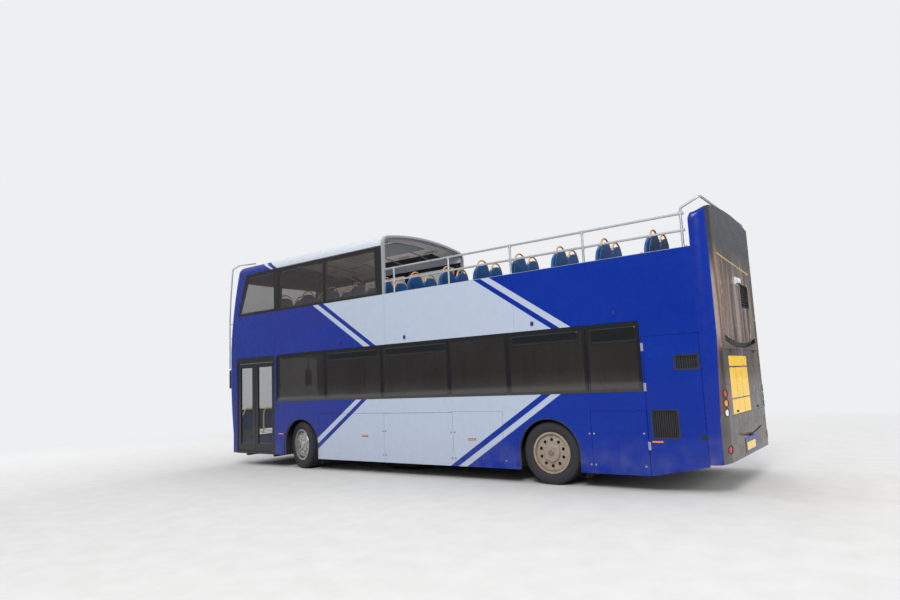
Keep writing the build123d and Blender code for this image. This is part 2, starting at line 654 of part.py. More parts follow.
def build_stairs():
    """The straight staircase behind the cab, the cab partition and the stairwell panel."""
    rise = (UPPER_FLOOR_Z - LOWER_FLOOR_Z) / STAIR_RISERS
    points = [(STAIR_FRONT_X, LOWER_FLOOR_Z)]
    for i in range(STAIR_RISERS - 1):
        x = STAIR_FRONT_X - STAIR_GOING * i
        z = LOWER_FLOOR_Z + rise * (i + 1)
        points += [(x, z), (x - STAIR_GOING, z)]
    end_x, end_z = points[-1]
    points += [(end_x, end_z - 150), (STAIR_FRONT_X - 180, LOWER_FLOOR_Z)]
    stairs = side_prism(points, STAIR_OUT_Y, STAIR_IN_Y)
    partition = block(3490, 3520, STAIR_OUT_Y, -380, LOWER_FLOOR_Z, UPPER_FLOOR_Z - UPPER_FLOOR_T)
    high = UPPER_FLOOR_Z + 850
    guard = block(STAIR_END_X, STAIRWELL_FRONT_X + 25, STAIR_IN_Y + 25, STAIR_IN_Y + 50, UPPER_FLOOR_Z, high)
    front = STAIRWELL_FRONT_X
    guard += block(front, front + 25, WALL + 20 - HALF, STAIR_IN_Y + 50, UPPER_FLOOR_Z, high)
    keep("staircase", [stairs, partition, guard])


def seat_pair(x, y, floor_z, cushion_z):
    """A double seat: cushion and back in one shell with two rounded tops, on a pedestal."""
    top = floor_z + SEAT_BACK_H
    depth = SEAT_DEPTH
    side = [
        (x + depth, cushion_z - 90), (x + depth + 20, cushion_z - 20), (x + depth, cushion_z + 20),
        (x + 60, cushion_z), (x - 30, top), (x - 90, top), (x - 30, cushion_z - 90),
    ]
    shell = side_prism(side, y - SEAT_WIDTH / 2, y + SEAT_WIDTH / 2)
    half = SEAT_WIDTH / 2
    with BuildSketch(Plane.YZ) as face:
        with Locations((y - half / 2, top - 140), (y + half / 2, top - 140)):
            Circle(140 + 0.001)
        with Locations((y, (cushion_z - 200 + top - 140) / 2)):
            Rectangle(SEAT_WIDTH, top - 140 - cushion_z + 200)
        with Locations((y - half / 2, top - 180), (y + half / 2, top - 180)):
            Circle(205)
    trim = extrude(Pos(x - 300, 0, 0) * face.sketch, amount=1200)
    shell = shell & trim
    leg = block(x + 60, x + 330, y - 60, y + 60, floor_z, cushion_z - 90)
    return shell + leg


def handle(x, y, top):
    """A round bar arch on the back of a seat."""
    centre = Pos(x, y, top - 150)
    ring = centre * Rot(0, 90, 0) * Torus(165, 13)
    return ring & block(x - 40, x + 40, y - 300, y + 300, top - 120, top + 100)


def build_seats():
    """Seats of both decks and the arched handles of the upper ones."""
    upper = []
    handles = []
    for i in range(12):
        x = -4380 + SEAT_PITCH * i
        for sign in (1, -1):
            y = sign * SEAT_Y
            in_stairwell = sign < 0 and STAIR_END_X - SEAT_DEPTH - 60 < x < STAIRWELL_FRONT_X + 130
            if in_stairwell:
                continue
            upper.append(seat_pair(x, y, UPPER_FLOOR_Z, UPPER_FLOOR_Z + CUSHION_H))
            for k in (-1, 1):
                handles.append(handle(x - 103.2, y + k * SEAT_WIDTH / 4, UPPER_FLOOR_Z + SEAT_BACK_H + 20))
    keep("upper_seats", upper)
    keep("seat_handles", handles)
    lower = []
    for i in range(5):
        x = 1250 - SEAT_PITCH * i
        for sign in (1, -1):
            if sign < 0 and i == 0:
                continue
            lower.append(seat_pair(x, sign * SEAT_Y, LOWER_FLOOR_Z, LOWER_FLOOR_Z + CUSHION_H))
    for x in (-2620, -3350, -4080):
        for sign in (1, -1):
            lower.append(platform_seat(x, sign * SEAT_Y))
    keep("lower_seats", lower)


def build_poles():
    """Grab poles from the floors to the ceiling of the lower saloon."""
    ceiling = UPPER_FLOOR_Z - UPPER_FLOOR_T - CLOSE_FIT
    poles = []
    for x in POLE_STATIONS:
        low = (LOWER_FLOOR_Z if x > PLATFORM_X else PLATFORM_Z) + CLOSE_FIT
        for sign in (1, -1):
            poles.append(rod((x, sign * POLE_Y, low), (x, sign * POLE_Y, ceiling), POLE_R))
    keep("grab_poles", poles)


def platform_seat(x, y):
    """A double seat of the rear platform, low enough to pass over the wheel boxes."""
    cushion_z = BOX_TOP + 110
    top = cushion_z + 600
    side = [
        (x + 430, cushion_z - 90), (x + 450, cushion_z - 20), (x + 430, cushion_z + 20),
        (x + 60, cushion_z), (x - 30, top), (x - 90, top), (x - 30, cushion_z - 90),
    ]
    shell = side_prism(side, y - SEAT_WIDTH / 2, y + SEAT_WIDTH / 2)
    inner = y - 425 if y > 0 else y + 425
    leg_y = inner + (90 if y > 0 else -90)
    leg = block(x + 60, x + 330, leg_y - 60, leg_y + 60, PLATFORM_Z, cushion_z - 90)
    if abs(leg_y) + 60 > REAR_BOX_Y:
        leg = block(x + 60, x + 330, inner, inner + (130 if y > 0 else -130), PLATFORM_Z, cushion_z - 90)
    return shell + leg


def build_cab():
    """Dashboard with the steering wheel, and the driver's seat."""
    outline = [
        (4520, LOWER_FLOOR_Z), (5020, LOWER_FLOOR_Z), (5020, 1000), (4780, 1090), (4560, 1010),
        (4560, 700), (4700, 620), (4700, 420), (4520, 340),
    ]
    dash = side_prism(outline, -HALF + WALL + 60, -230) & ROOM
    column = rod((4640, -760, 900), (4400, -760, 1160), 35)
    wheel = Pos(4390, -760, 1170) * Rot(0, -43, 0) * Torus(225, 16)
    spoke = Pos(4390, -760, 1170) * Rot(0, -43, 0) * Box(30, 430, 14)
    hub = Pos(4390, -760, 1170) * Rot(0, -43, 0) * Cylinder(60, 40)
    keep("dashboard", dash + column + wheel + spoke + hub)
    outline = [
        (3740, 660), (4150, 640), (4180, 720), (3830, 760), (3730, 1340), (3640, 1360), (3640, 1340), (3700, 700),
    ]
    seat = side_prism(outline, -1010, -530)
    seat = fillet(seat.edges().filter_by(Axis.Y), 8)
    plinth = block(3780, 4060, -900, -640, LOWER_FLOOR_Z, 670)
    keep("driver_seat", seat + plinth)


def build_rails():
    """Guard rails of the open deck and the hoop over its rear corners."""
    front = CANOPY_END_X - ARCH_WIDTH
    posts = [170, -1060, -2280, -3520]
    rails = []
    for sign in (1, -1):
        y = sign * RAIL_Y
        rail = rod((front, y, TOP_RAIL_Z), (HOOP_X + RAIL_R, y, TOP_RAIL_Z), RAIL_R)
        rail += rod((front, y, MID_RAIL_Z), (HOOP_X + RAIL_R, y, MID_RAIL_Z), RAIL_R)
        for x in posts:
            rail += rod((x, y, COAMING_Z), (x, y, TOP_RAIL_Z), RAIL_R)
        hoop_post = rod((HOOP_X, y, COAMING_Z), (HOOP_X, y, TOP_RAIL_Z + 200), RAIL_R + 0.3)
        rails.append(rail - hoop_post)
    keep("guard_rails", rails)
    y = RAIL_Y
    path = [
        (HOOP_X, y, COAMING_Z), (HOOP_X, y, 3740), (X_REAR + 70, y - 25, 3862),
        (X_REAR + 70, -y + 25, 3862), (HOOP_X, -y, 3740), (HOOP_X, -y, COAMING_Z),
    ]
    keep("rear_hoop_rail", tube_path(path, RAIL_R, 60))


def tyre(width, outer_r):
    """A tyre turned about Y, with rounded shoulders and bulging walls."""
    h = width / 2
    bead = RIM_HALF - 13
    with BuildSketch(Plane.XY) as section:
        with BuildLine():
            Polyline((BEAD_R, -bead), (RIM_FLANGE_R + 1, -bead), (RIM_FLANGE_R + 8, -h + 16))
            ThreePointArc((RIM_FLANGE_R + 8, -h + 16), (outer_r - 85, -h), (outer_r - 22, -h + 15))
            ThreePointArc((outer_r - 22, -h + 15), (outer_r - 6, -h + 24), (outer_r, -h + 40))
            Line((outer_r, -h + 40), (outer_r, h - 40))
            ThreePointArc((outer_r, h - 40), (outer_r - 6, h - 24), (outer_r - 22, h - 15))
            ThreePointArc((outer_r - 22, h - 15), (outer_r - 85, h), (RIM_FLANGE_R + 8, h - 16))
            Polyline((RIM_FLANGE_R + 8, h - 16), (RIM_FLANGE_R + 1, bead), (BEAD_R, bead), (BEAD_R, -bead))
        make_face()
    return revolve(section.sketch, Axis.Y, 360)


def turned(points):
    """A closed outline of radius and Y, turned about Y."""
    face = make_face(Polyline(*[(r, y, 0) for r, y in points], close=True).edges())
    return revolve(face, Axis.Y, 360)


def hand_holes(radius, hole_r, count, y0, y1):
    """Round holes in a ring, along Y."""
    holes = []
    for i in range(count):
        a = 2 * pi * (i + 0.5) / count
        holes.append(rod((radius * cos(a), y0, radius * sin(a)), (radius * cos(a), y1, radius * sin(a)), hole_r))
    return holes


def barrel_points(y):
    """The rim barrel about the plane y: flanges outside and a drop in the middle."""
    return [
        (BARREL_R, y - RIM_HALF), (RIM_FLANGE_R, y - RIM_HALF), (RIM_FLANGE_R, y - RIM_HALF + 8),
        (BEAD_R - 0.5, y - RIM_HALF + 12), (BEAD_R - 0.5, y + RIM_HALF - 12),
        (RIM_FLANGE_R, y + RIM_HALF - 8), (RIM_FLANGE_R, y + RIM_HALF), (BARREL_R, y + RIM_HALF),
    ]


def front_rim():
    """A front rim: convex disc with round holes, a nut ring, nuts and the hub."""
    rim = turned(barrel_points(0))
    disc = turned([
        (SPINDLE_R + SPINDLE_FIT, -10), (120, -10), (120, 88), (215, 96), (BARREL_R + 1, 50),
        (BARREL_R + 1, 64), (222, 110), (198, 112), (195, 132), (140, 136), (112, 132), (104, 160), (70, 168),
        (SPINDLE_R + SPINDLE_FIT, 168),
    ])
    rim = rim + disc
    for hole in hand_holes(236, 17, NUT_COUNT, 0, 200):
        rim = rim - hole
    for i in range(NUT_COUNT):
        a = 2 * pi * i / NUT_COUNT
        rim += rod((167.5 * cos(a), 120, 167.5 * sin(a)), (167.5 * cos(a), 158, 167.5 * sin(a)), 15)
    cap = turned([(0, 160), (SPINDLE_R + 10, 160), (SPINDLE_R + 10, 172), (0, 176)])
    return rim + cap


def rear_rim():
    """Twin rims on one hub with a flat trim, a ring of round holes and a raised boss."""
    spacing = TYRE_WIDTH + TWIN_GAP
    rim = turned(barrel_points(0)) + turned(barrel_points(-spacing))
    hub = turned([
        (SPINDLE_R + SPINDLE_FIT, -spacing - 100), (205, -spacing - 100), (205, -spacing / 2 - 8),
        (BARREL_R + 1, -spacing / 2 - 60), (BARREL_R + 1, -spacing / 2 - 44), (225, -spacing / 2),
        (BARREL_R + 1, -spacing / 2 + 44), (BARREL_R + 1, -spacing / 2 + 60), (205, -spacing / 2 + 8),
        (110, -spacing / 2 + 8), (110, 40), (SPINDLE_R + SPINDLE_FIT, 40),
    ])
    trim = turned([
        (0, 84), (240, 84), (BARREL_R + 1, 70), (BARREL_R + 1, 80), (244, 92), (150, 92),
        (136, 96), (130, 118), (118, 126), (0, 128),
    ])
    post = turned([(SPINDLE_R + 10, 38), (80, 38), (80, 85), (SPINDLE_R + 10, 85)])
    for hole in hand_holes(190, 25, NUT_COUNT, 60, 110):
        trim = trim - hole
    return rim + hub + trim + post


def place_wheel(shape, x, y, turn):
    """Carry a piece made about Y to its wheel centre."""
    return Pos(x, y, TYRE_R) * Rot(0, 0, turn) * shape


def steer_offset():
    """The wheel centre from its kingpin, for the steered rest position on the left."""
    reach = TRACK_OUTER_Y - TYRE_WIDTH / 2 - KINGPIN_Y
    return reach, -reach * sin(radians(STEER_REST)), reach * cos(radians(STEER_REST))


def build_wheels():
    """Tyres and rims, front ones turned with the steering."""
    reach, dx, dy = steer_offset()
    tread = tyre(TYRE_WIDTH, TYRE_R)
    rim = front_rim()
    left = (FRONT_AXLE_X + dx, KINGPIN_Y + dy, STEER_REST)
    right = (FRONT_AXLE_X - dx, -KINGPIN_Y - dy, STEER_REST + 180)
    for side, (x, y, turn) in (("left", left), ("right", right)):
        keep("front_tyre_" + side, place_wheel(tread, x, y, turn))
        keep("front_rim_" + side, place_wheel(rim, x, y, turn))
    spacing = TYRE_WIDTH + TWIN_GAP
    twin = rear_rim()
    rear_y = TRACK_OUTER_Y - TYRE_WIDTH / 2
    for side, sign, turn in (("left", 1, 0), ("right", -1, 180)):
        pair = [tread, Pos(0, -spacing, 0) * tread]
        keep("rear_tyres_" + side, [place_wheel(t, REAR_AXLE_X, sign * rear_y, turn) for t in pair])
        keep("rear_rims_" + side, place_wheel(twin, REAR_AXLE_X, sign * rear_y, turn))


def rod_lugs(root_x, pin_x, y):
    """Two lugs with the pin that holds one end of a radius rod."""
    end = pin_x + (30 if pin_x > root_x else -30)
    lugs = rod((pin_x, y - 40, ROD_Z), (pin_x, y + 40, ROD_Z), ROD_PIN_R)
    for side in (-1, 1):
        lugs += block(root_x, end, y + side * (ROD_EYE / 2 + 0.3), y + side * 40, ROD_Z - 28, ROD_Z + 28)
    return lugs


def radius_rod(y):
    """A rod with an eye at each end, between the chassis and the front axle."""
    bar = rod((ROD_REAR_X, y, ROD_Z), (ROD_FRONT_X, y, ROD_Z), 15)
    for x in (ROD_REAR_X, ROD_FRONT_X):
        bar += rod((x, y - ROD_EYE / 2, ROD_Z), (x, y + ROD_EYE / 2, ROD_Z), 27)
    for x in (ROD_REAR_X, ROD_FRONT_X):
        bar -= rod((x, y - ROD_EYE, ROD_Z), (x, y + ROD_EYE, ROD_Z), ROD_PIN_R + 0.3)
    return bar


def bellows():
    """An air spring with two lobes between its carrier and the rail above."""
    low, high = CARRIER_Z + 0.3, SPRING_TOP_Z - 0.3
    middle = (low + high) / 2
    with BuildSketch(Plane.XZ) as section:
        with BuildLine():
            Polyline((0, high), (0, low), (52, low), (52, low + 12))
            ThreePointArc((52, low + 12), (SPRING_R, (low + 12 + middle) / 2), (54, middle))
            ThreePointArc((54, middle), (SPRING_R, (high - 12 + middle) / 2), (52, high - 12))
            Polyline((52, high - 12), (52, high), (0, high))
        make_face()
    return revolve(section.sketch, Axis.Z, 360)


def build_axles():
    """Drop beam with its kingpin eyes, the knuckles and the rear axle housing."""
    eye_half = 60.0
    low, high = BEAM_LOW_Z, BEAM_HIGH_Z
    beam = block(FRONT_AXLE_X - 55, FRONT_AXLE_X + 55, -700, 700, low, high)
    eye_y = KINGPIN_Y - 20
    riser_line = [
        (640, low), (740, low), (eye_y, TYRE_R - 20), (eye_y, TYRE_R + 55), (eye_y - 90, TYRE_R + 55), (640, high),
    ]
    for sign in (1, -1):
        corners = [(FRONT_AXLE_X - 45, sign * y, z) for y, z in riser_line]
        riser = make_face(Polyline(*corners, close=True).edges())
        beam += extrude(riser, amount=90, dir=(1, 0, 0))
        beam += rod_lugs(FRONT_AXLE_X - 50, ROD_FRONT_X, sign * ROD_Y)
        x, y = FRONT_AXLE_X, sign * KINGPIN_Y
        eye = rod((x, y, TYRE_R - eye_half), (x, y, TYRE_R + eye_half), 48)
        bore = rod((x, y, 0), (x, y, 900), KINGPIN_R + 0.3)
        beam = (beam + eye) - bore
    keep("front_axle_beam", beam)

    reach = steer_offset()[0]
    for side, sign, turn in (("left", 1, 0), ("right", -1, 180)):
        pin = rod((0, 0, -eye_half - 40), (0, 0, eye_half + 40), KINGPIN_R)
        knuckle = pin
        for z in (1, -1):
            knuckle += rod((0, 0, z * (eye_half + 0.5)), (0, 0, z * (eye_half + 42)), 46)
        plate = block(-60, 60, 55, 75, -eye_half - 42, eye_half + 42)
        lugs = block(-40, 40, 0, 60, eye_half + 0.5, eye_half + 42)
        lugs += block(-40, 40, 0, 60, -eye_half - 42, -eye_half - 0.5)
        stub = rod((0, 70, 0), (0, reach + 140, 0), SPINDLE_R)
        knuckle = knuckle + lugs + plate + stub
        shape = Pos(FRONT_AXLE_X, sign * KINGPIN_Y, TYRE_R) * Rot(0, 0, STEER_REST + turn) * knuckle
        keep("steering_knuckle_" + side, shape)

    inner_y = TRACK_OUTER_Y - TYRE_WIDTH - TWIN_GAP - TYRE_WIDTH / 2
    tube_end = inner_y - 105
    housing = rod((REAR_AXLE_X, -tube_end, TYRE_R), (REAR_AXLE_X, tube_end, TYRE_R), AXLE_TUBE_R)
    housing += Pos(REAR_AXLE_X, -120, TYRE_R) * Sphere(DIFF_R)
    housing += rod((REAR_AXLE_X, -1070, TYRE_R), (REAR_AXLE_X, 1070, TYRE_R), SPINDLE_R)
    springs = []
    for sign in (1, -1):
        y0, y1 = sign * (RAIL_IN_Y + 5), sign * (RAIL_OUT_Y - 5)
        housing += block(REAR_AXLE_X - 400, REAR_AXLE_X + 400, y0, y1, CARRIER_Z - 40, CARRIER_Z)
        housing += block(REAR_AXLE_X - 60, REAR_AXLE_X + 60, y0, y1, CARRIER_Z - 10, TYRE_R - 40)
        for end in (-1, 1):
            springs.append(Pos(REAR_AXLE_X + end * SPRING_X, sign * (RAIL_IN_Y + RAIL_OUT_Y) / 2, 0) * bellows())
    keep("rear_axle_housing", housing)
    keep("air_springs", springs)
    keep("radius_rods", [radius_rod(sign * ROD_Y) for sign in (1, -1)])


def build_chassis():
    """Two long rails with cross members, and the engine as one plain block."""
    frame = None
    low, high = RAIL_LOW_Z, LOWER_FLOOR_Z - LOWER_FLOOR_T
    for sign in (1, -1):
        y0, y1 = sign * RAIL_IN_Y, sign * RAIL_OUT_Y
        rail = block(-4200, 4700, y0, y1, low, high)
        frame = rail if frame is None else frame + rail
        frame += block(-4200, -4130, y0, y1, low, 430)
        frame += block(-5150, -4130, y0, y1, 430, 510)
    for x in (4500, 3600, 1900, 900, -100, -1100, -1900, -4165):
        frame += block(x, x + 70, -RAIL_OUT_Y, RAIL_OUT_Y, low, high)
        if abs(x - FRONT_AXLE_X) > 700 and x > -4000:
            frame += block(x, x + 60, -HALF + WALL + FIT, HALF - WALL - FIT, high - 45, high)
    beam_gap = block(FRONT_AXLE_X - 65, FRONT_AXLE_X + 65, -800, 800, 100, high - 20)
    axle_gap = block(REAR_AXLE_X - KICK_REACH, REAR_AXLE_X + KICK_REACH, -800, 800, 0, high + 5)
    frame = frame - beam_gap - axle_gap
    post = 70.0
    for sign in (1, -1):
        y0, y1 = sign * RAIL_IN_Y, sign * RAIL_OUT_Y
        for end in (-1, 1):
            near = REAR_AXLE_X + end * KICK_REACH
            frame += block(near, near + end * post, y0, y1, low, KICK_TOP_Z)
        reach = KICK_REACH + post
        frame += block(REAR_AXLE_X - reach, REAR_AXLE_X + reach, y0, y1, SPRING_TOP_Z, KICK_TOP_Z)
        frame += rod_lugs(1960, ROD_REAR_X, sign * ROD_Y)
    frame = frame - rod((REAR_AXLE_X, -600, TYRE_R), (REAR_AXLE_X, 600, TYRE_R), AXLE_TUBE_R + 8)
    boss = rod((4560, TOW_Y, TOW_Z), (TOW_X, TOW_Y, TOW_Z), TOW_BORE_R + 9)
    frame = (frame + boss) - rod((TOW_X - TOW_DEPTH, TOW_Y, TOW_Z), (TOW_X + 50, TOW_Y, TOW_Z), TOW_BORE_R)
    keep("chassis_frame", frame)
    keep("engine_block", block(-5130, -4330, -420, 420, 510, 1380))


def build_fittings():
    """Tree guard, mirrors and rear lamps."""
    y = HALF - 110
    path = [
        (4320, y, ROOF_TOP - 58), (4900, y, ROOF_TOP - 25), (5150, y, ROOF_TOP - 80),
        (5228, y, 3700), (5262, y, 3200), (5262, y, 2080),
    ]
    guard = tube_path(path, 15, 60)
    for z in (3085, 2765):
        guard += rod((5262, y, z), (5120, y - 10, z), 11)
    guard = guard - OUTER
    keep("tree_guard", guard.solids().sort_by(SortBy.VOLUME)[-1])
    arms = []
    for sign in (1, -1):
        y = sign * (HALF - 180)
        path = [(5080, y, 2340), (5210, y, 2365), (5236, y, 2310), (5236, y, 2020)]
        arm = tube_path(path, 14, 25)
        head = block(5202, 5264, y - 95, y + 95, 1640, 2050)
        head = fillet(head.edges(), 22)
        arms.append((arm + head) - OUTER)
    keep("mirrors", [a.solids().sort_by(SortBy.VOLUME)[-1] for a in arms])


build_lower_walls()
build_door()
build_upper_body()
build_front()
build_rear()
build_floors()
build_stairs()
build_seats()
build_poles()
build_cab()
build_rails()
build_wheels()
build_axles()
build_chassis()
build_fittings()
print(len(NODES), "nodes")
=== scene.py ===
"""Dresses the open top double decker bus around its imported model."""

import json
import logging
import math
from collections.abc import Sequence
from dataclasses import dataclass
from enum import Enum

import bmesh
import bpy
from mathutils import Matrix, Vector
from mathutils.bvhtree import BVHTree

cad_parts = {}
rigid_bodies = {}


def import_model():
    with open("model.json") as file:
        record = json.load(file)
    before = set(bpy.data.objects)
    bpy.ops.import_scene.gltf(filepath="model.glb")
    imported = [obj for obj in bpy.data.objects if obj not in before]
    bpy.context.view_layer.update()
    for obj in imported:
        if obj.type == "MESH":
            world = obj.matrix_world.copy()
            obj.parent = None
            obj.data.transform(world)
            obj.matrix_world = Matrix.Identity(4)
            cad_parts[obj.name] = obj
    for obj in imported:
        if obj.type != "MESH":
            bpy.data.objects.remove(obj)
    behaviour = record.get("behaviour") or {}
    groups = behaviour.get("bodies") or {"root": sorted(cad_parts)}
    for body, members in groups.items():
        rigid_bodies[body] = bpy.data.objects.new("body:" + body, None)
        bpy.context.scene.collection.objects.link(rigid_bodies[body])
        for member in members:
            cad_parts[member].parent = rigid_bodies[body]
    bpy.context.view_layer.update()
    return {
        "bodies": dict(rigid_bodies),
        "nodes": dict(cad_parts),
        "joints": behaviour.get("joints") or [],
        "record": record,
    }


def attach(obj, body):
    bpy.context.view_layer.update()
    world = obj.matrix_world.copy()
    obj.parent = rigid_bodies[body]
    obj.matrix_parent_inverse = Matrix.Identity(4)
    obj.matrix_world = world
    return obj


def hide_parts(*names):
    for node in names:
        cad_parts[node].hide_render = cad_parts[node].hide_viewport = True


log = logging.getLogger("bus")

Colour = tuple[float, float, float]
Point = tuple[float, float, float]
Socket = bpy.types.NodeSocket

ROOT = "bus"
SIDES = (-1, 1)
ORIGIN: Point = (0, 0, 0)
ALONG: Point = (1, 0, 0)
REARWARD: Point = (-1, 0, 0)
ACROSS: Point = (0, 1, 0)
UP: Point = (0, 0, 1)

HALF_WIDTH = 1.275
REAR_FACE_X = -5.280
HEAD_Z = 2.290
COAMING_Z = 3.205
UPPER_FLOOR_Z = 2.430
AXLES_X = (2.750, -2.770)
TYRE_R = 0.462
ENGINE_DOOR_AXIS_X = -4.2825
NEARSIDE: Point = (0, HALF_WIDTH, 0)
REAR: Point = (REAR_FACE_X, 0, 0)
SALOON_JOINTS = (3.460, 2.010, 0.520, -0.990, -2.140, -3.460, -4.255)

REAR_BLUE: Colour = (0.0006, 0.0190, 0.240)
BLACK_PRINT: Colour = (0.0045, 0.0045, 0.005)


class Nodes:
    """A node tree that is put together one step at a time."""

    def __init__(self, tree: bpy.types.NodeTree) -> None:
        """Empties the tree."""
        self.tree = tree
        self.tree.nodes.clear()

    def feed(self, socket: Socket, value: object) -> None:
        """Links a socket into another, or sets its number or colour.

        Args:
            socket: The socket to fill.
            value: A socket, a number or a colour.
        """
        if isinstance(value, bpy.types.NodeSocket):
            self.tree.links.new(value, socket)
        elif isinstance(value, tuple) and len(value) == 3 and socket.type == "RGBA":
            socket.default_value = (*value, 1.0)
        else:
            socket.default_value = value

    def node(self, kind: str, *values: object) -> bpy.types.Node:
        """A new node.

        Args:
            kind: Its type's name after ShaderNode.
            values: Numbers, colours or sockets for its first inputs.

        Returns:
            The node.
        """
        node = self.tree.nodes.new("ShaderNode" + kind)
        for socket, value in zip(node.inputs, values):
            self.feed(socket, value)
        return node

    def maths(self, operation: str, *values: object) -> Socket:
        """A Math node's result.

        Args:
            operation: The node's operation.
            values: Numbers or sockets for its inputs.

        Returns:
            The socket with the result.
        """
        node = self.node("Math")
        node.operation = operation
        for socket, value in zip(node.inputs, values):
            self.feed(socket, value)
        return node.outputs[0]

    def times(self, first: object, second: object) -> Socket:
        """The product of two values."""
        return self.maths("MULTIPLY", first, second)

    def most(self, first: object, second: object) -> Socket:
        """The larger of two values."""
        return self.maths("MAXIMUM", first, second)

    def spread(
        self, value: object, low: float, high: float, out_low: float = 0.0, out_high: float = 1.0
    ) -> Socket:
        """Maps a value from low and high to a new range, and clamps it there."""
        return self.node("MapRange", value, low, high, out_low, out_high).outputs[0]

    def shown_to(self, *rays: str) -> Socket:
        """One for camera rays and the named kinds of ray, and zero for the others.

        Args:
            rays: The kinds of ray, as the Light Path node names them.

        Returns:
            The socket with the test's result.
        """
        path = self.node("LightPath")
        seen = path.outputs["Is Camera Ray"]
        for name in rays:
            seen = self.most(seen, path.outputs[name])
        return seen


class Graph(Nodes):
    """A material's nodes, with its shader and the places of its points."""

    def __init__(self, name: str) -> None:
        """Starts the material with one Principled shader.

        Args:
            name: The material's name.
        """
        self.material = bpy.data.materials.new(name)
        self.material.use_nodes = True
        super().__init__(self.material.node_tree)
        self.output = self.node("OutputMaterial")
        self.shader = self.node("BsdfPrincipled")
        self.feed(self.output.inputs[0], self.shader.outputs[0])
        self.coords = self.node("TexCoord").outputs["Object"]
        self.x, self.y, self.z = self.node("SeparateXYZ", self.coords).outputs
        self.facing_x = self.node("SeparateXYZ", self.node("NewGeometry").outputs["Normal"]).outputs[0]

    def put(self, **inputs: object) -> None:
        """Sets the shader's inputs, with underscores for spaces in their names."""
        for name, value in inputs.items():
            self.feed(self.shader.inputs[name.replace("_", " ")], value)

    def near(self, value: object, middle: object, half: float) -> Socket:
        """One where a value lies within a distance of another."""
        return self.maths("COMPARE", value, middle, half)

    def between(self, value: object, low: float, high: float, soft: float = 0.001) -> Socket:
        """One where a value lies between two limits, and zero outside."""
        return self.times(self.spread(value, low - soft, low), self.spread(value, high + soft, high))

    def off_middle(self) -> Socket:
        """The distance from the bus's middle plane."""
        return self.maths("ABSOLUTE", self.y)

    def cells(self, scale: float) -> Socket:
        """The distance to the nearest of many scattered points.

        Args:
            scale: How close together the points lie.

        Returns:
            The socket with the distance.
        """
        node = self.node("TexVoronoi", self.coords)
        node.inputs["Scale"].default_value = scale
        return node.outputs["Distance"]

    def mix(self, factor: object, first: object, second: object) -> Socket:
        """Mixes two colours by a factor.

        Args:
            factor: How much of the second colour there is.
            first: The first colour.
            second: The second colour.

        Returns:
            The socket with the mixed colour.
        """
        node = self.node("Mix")
        node.data_type = "RGBA"
        for name, value in (("Factor_Float", factor), ("A_Color", first), ("B_Color", second)):
            self.feed(next(s for s in node.inputs if s.identifier == name), value)
        return next(s for s in node.outputs if s.identifier == "Result_Color")

    def noise(self, scale: float, detail: float = 3.0, stretch: Point = (1.0, 1.0, 1.0)) -> Socket:
        """A noise of a given scale, stretched along the axes.

        Args:
            scale: How fine the noise is.
            detail: How many finer layers it has.
            stretch: Its scale along each axis.

        Returns:
            The socket with the noise.
        """
        turn = self.node("Mapping", self.coords)
        turn.inputs["Scale"].default_value = stretch
        node = self.node("TexNoise", turn.outputs[0])
        node.inputs["Scale"].default_value = scale
        node.inputs["Detail"].default_value = detail
        return node.outputs[0]

    def patchy(self, scale: float, low: float, high: float) -> Socket:
        """A value that drifts between two limits over the surface."""
        return self.spread(self.noise(scale, 4.0), 0.3, 0.7, low, high)

    def bump(self, height: object, strength: float, distance: float) -> None:
        """Adds a bump to the shader's normal.

        Args:
            height: The socket with the relief.
            strength: How strong it is.
            distance: How deep it is.
        """
        node = self.node("Bump")
        for name, value in (("Strength", strength), ("Distance", distance), ("Height", height)):
            self.feed(node.inputs[name], value)
        before = self.shader.inputs["Normal"]
        if before.is_linked:
            self.feed(node.inputs["Normal"], before.links[0].from_socket)
        self.feed(before, node.outputs[0])

    def dusted(self, colour: object, top: float, amount: float, dust: Colour = (0.30, 0.26, 0.21)) -> Socket:
        """Road dust that thins out with height, broken up by noise.

        Args:
            colour: The clean colour.
            top: The height where the dust ends.
            amount: How much there is at the bottom.
            dust: The dust's colour.

        Returns:
            The socket with the dusty colour.
        """
        low = self.spread(self.z, 0.15, top, 1.0, 0.0)
        patch = self.spread(self.noise(5.0, 6.0), 0.35, 0.75)
        return self.mix(self.times(self.times(low, amount), patch), colour, dust)


class Paint:
    """What every finish shares: a name, a material slot, and nodes that it lays."""

    name: str
    slot: str

    def lay(self, g: Graph) -> None:
        """Lays the finish's colour, gloss and bump."""
        raise NotImplementedError

    def build(self) -> bpy.types.Material:
        """Makes the material.

        Returns:
            The finished material.
        """
        g = Graph(self.name)
        self.lay(g)
        return g.material


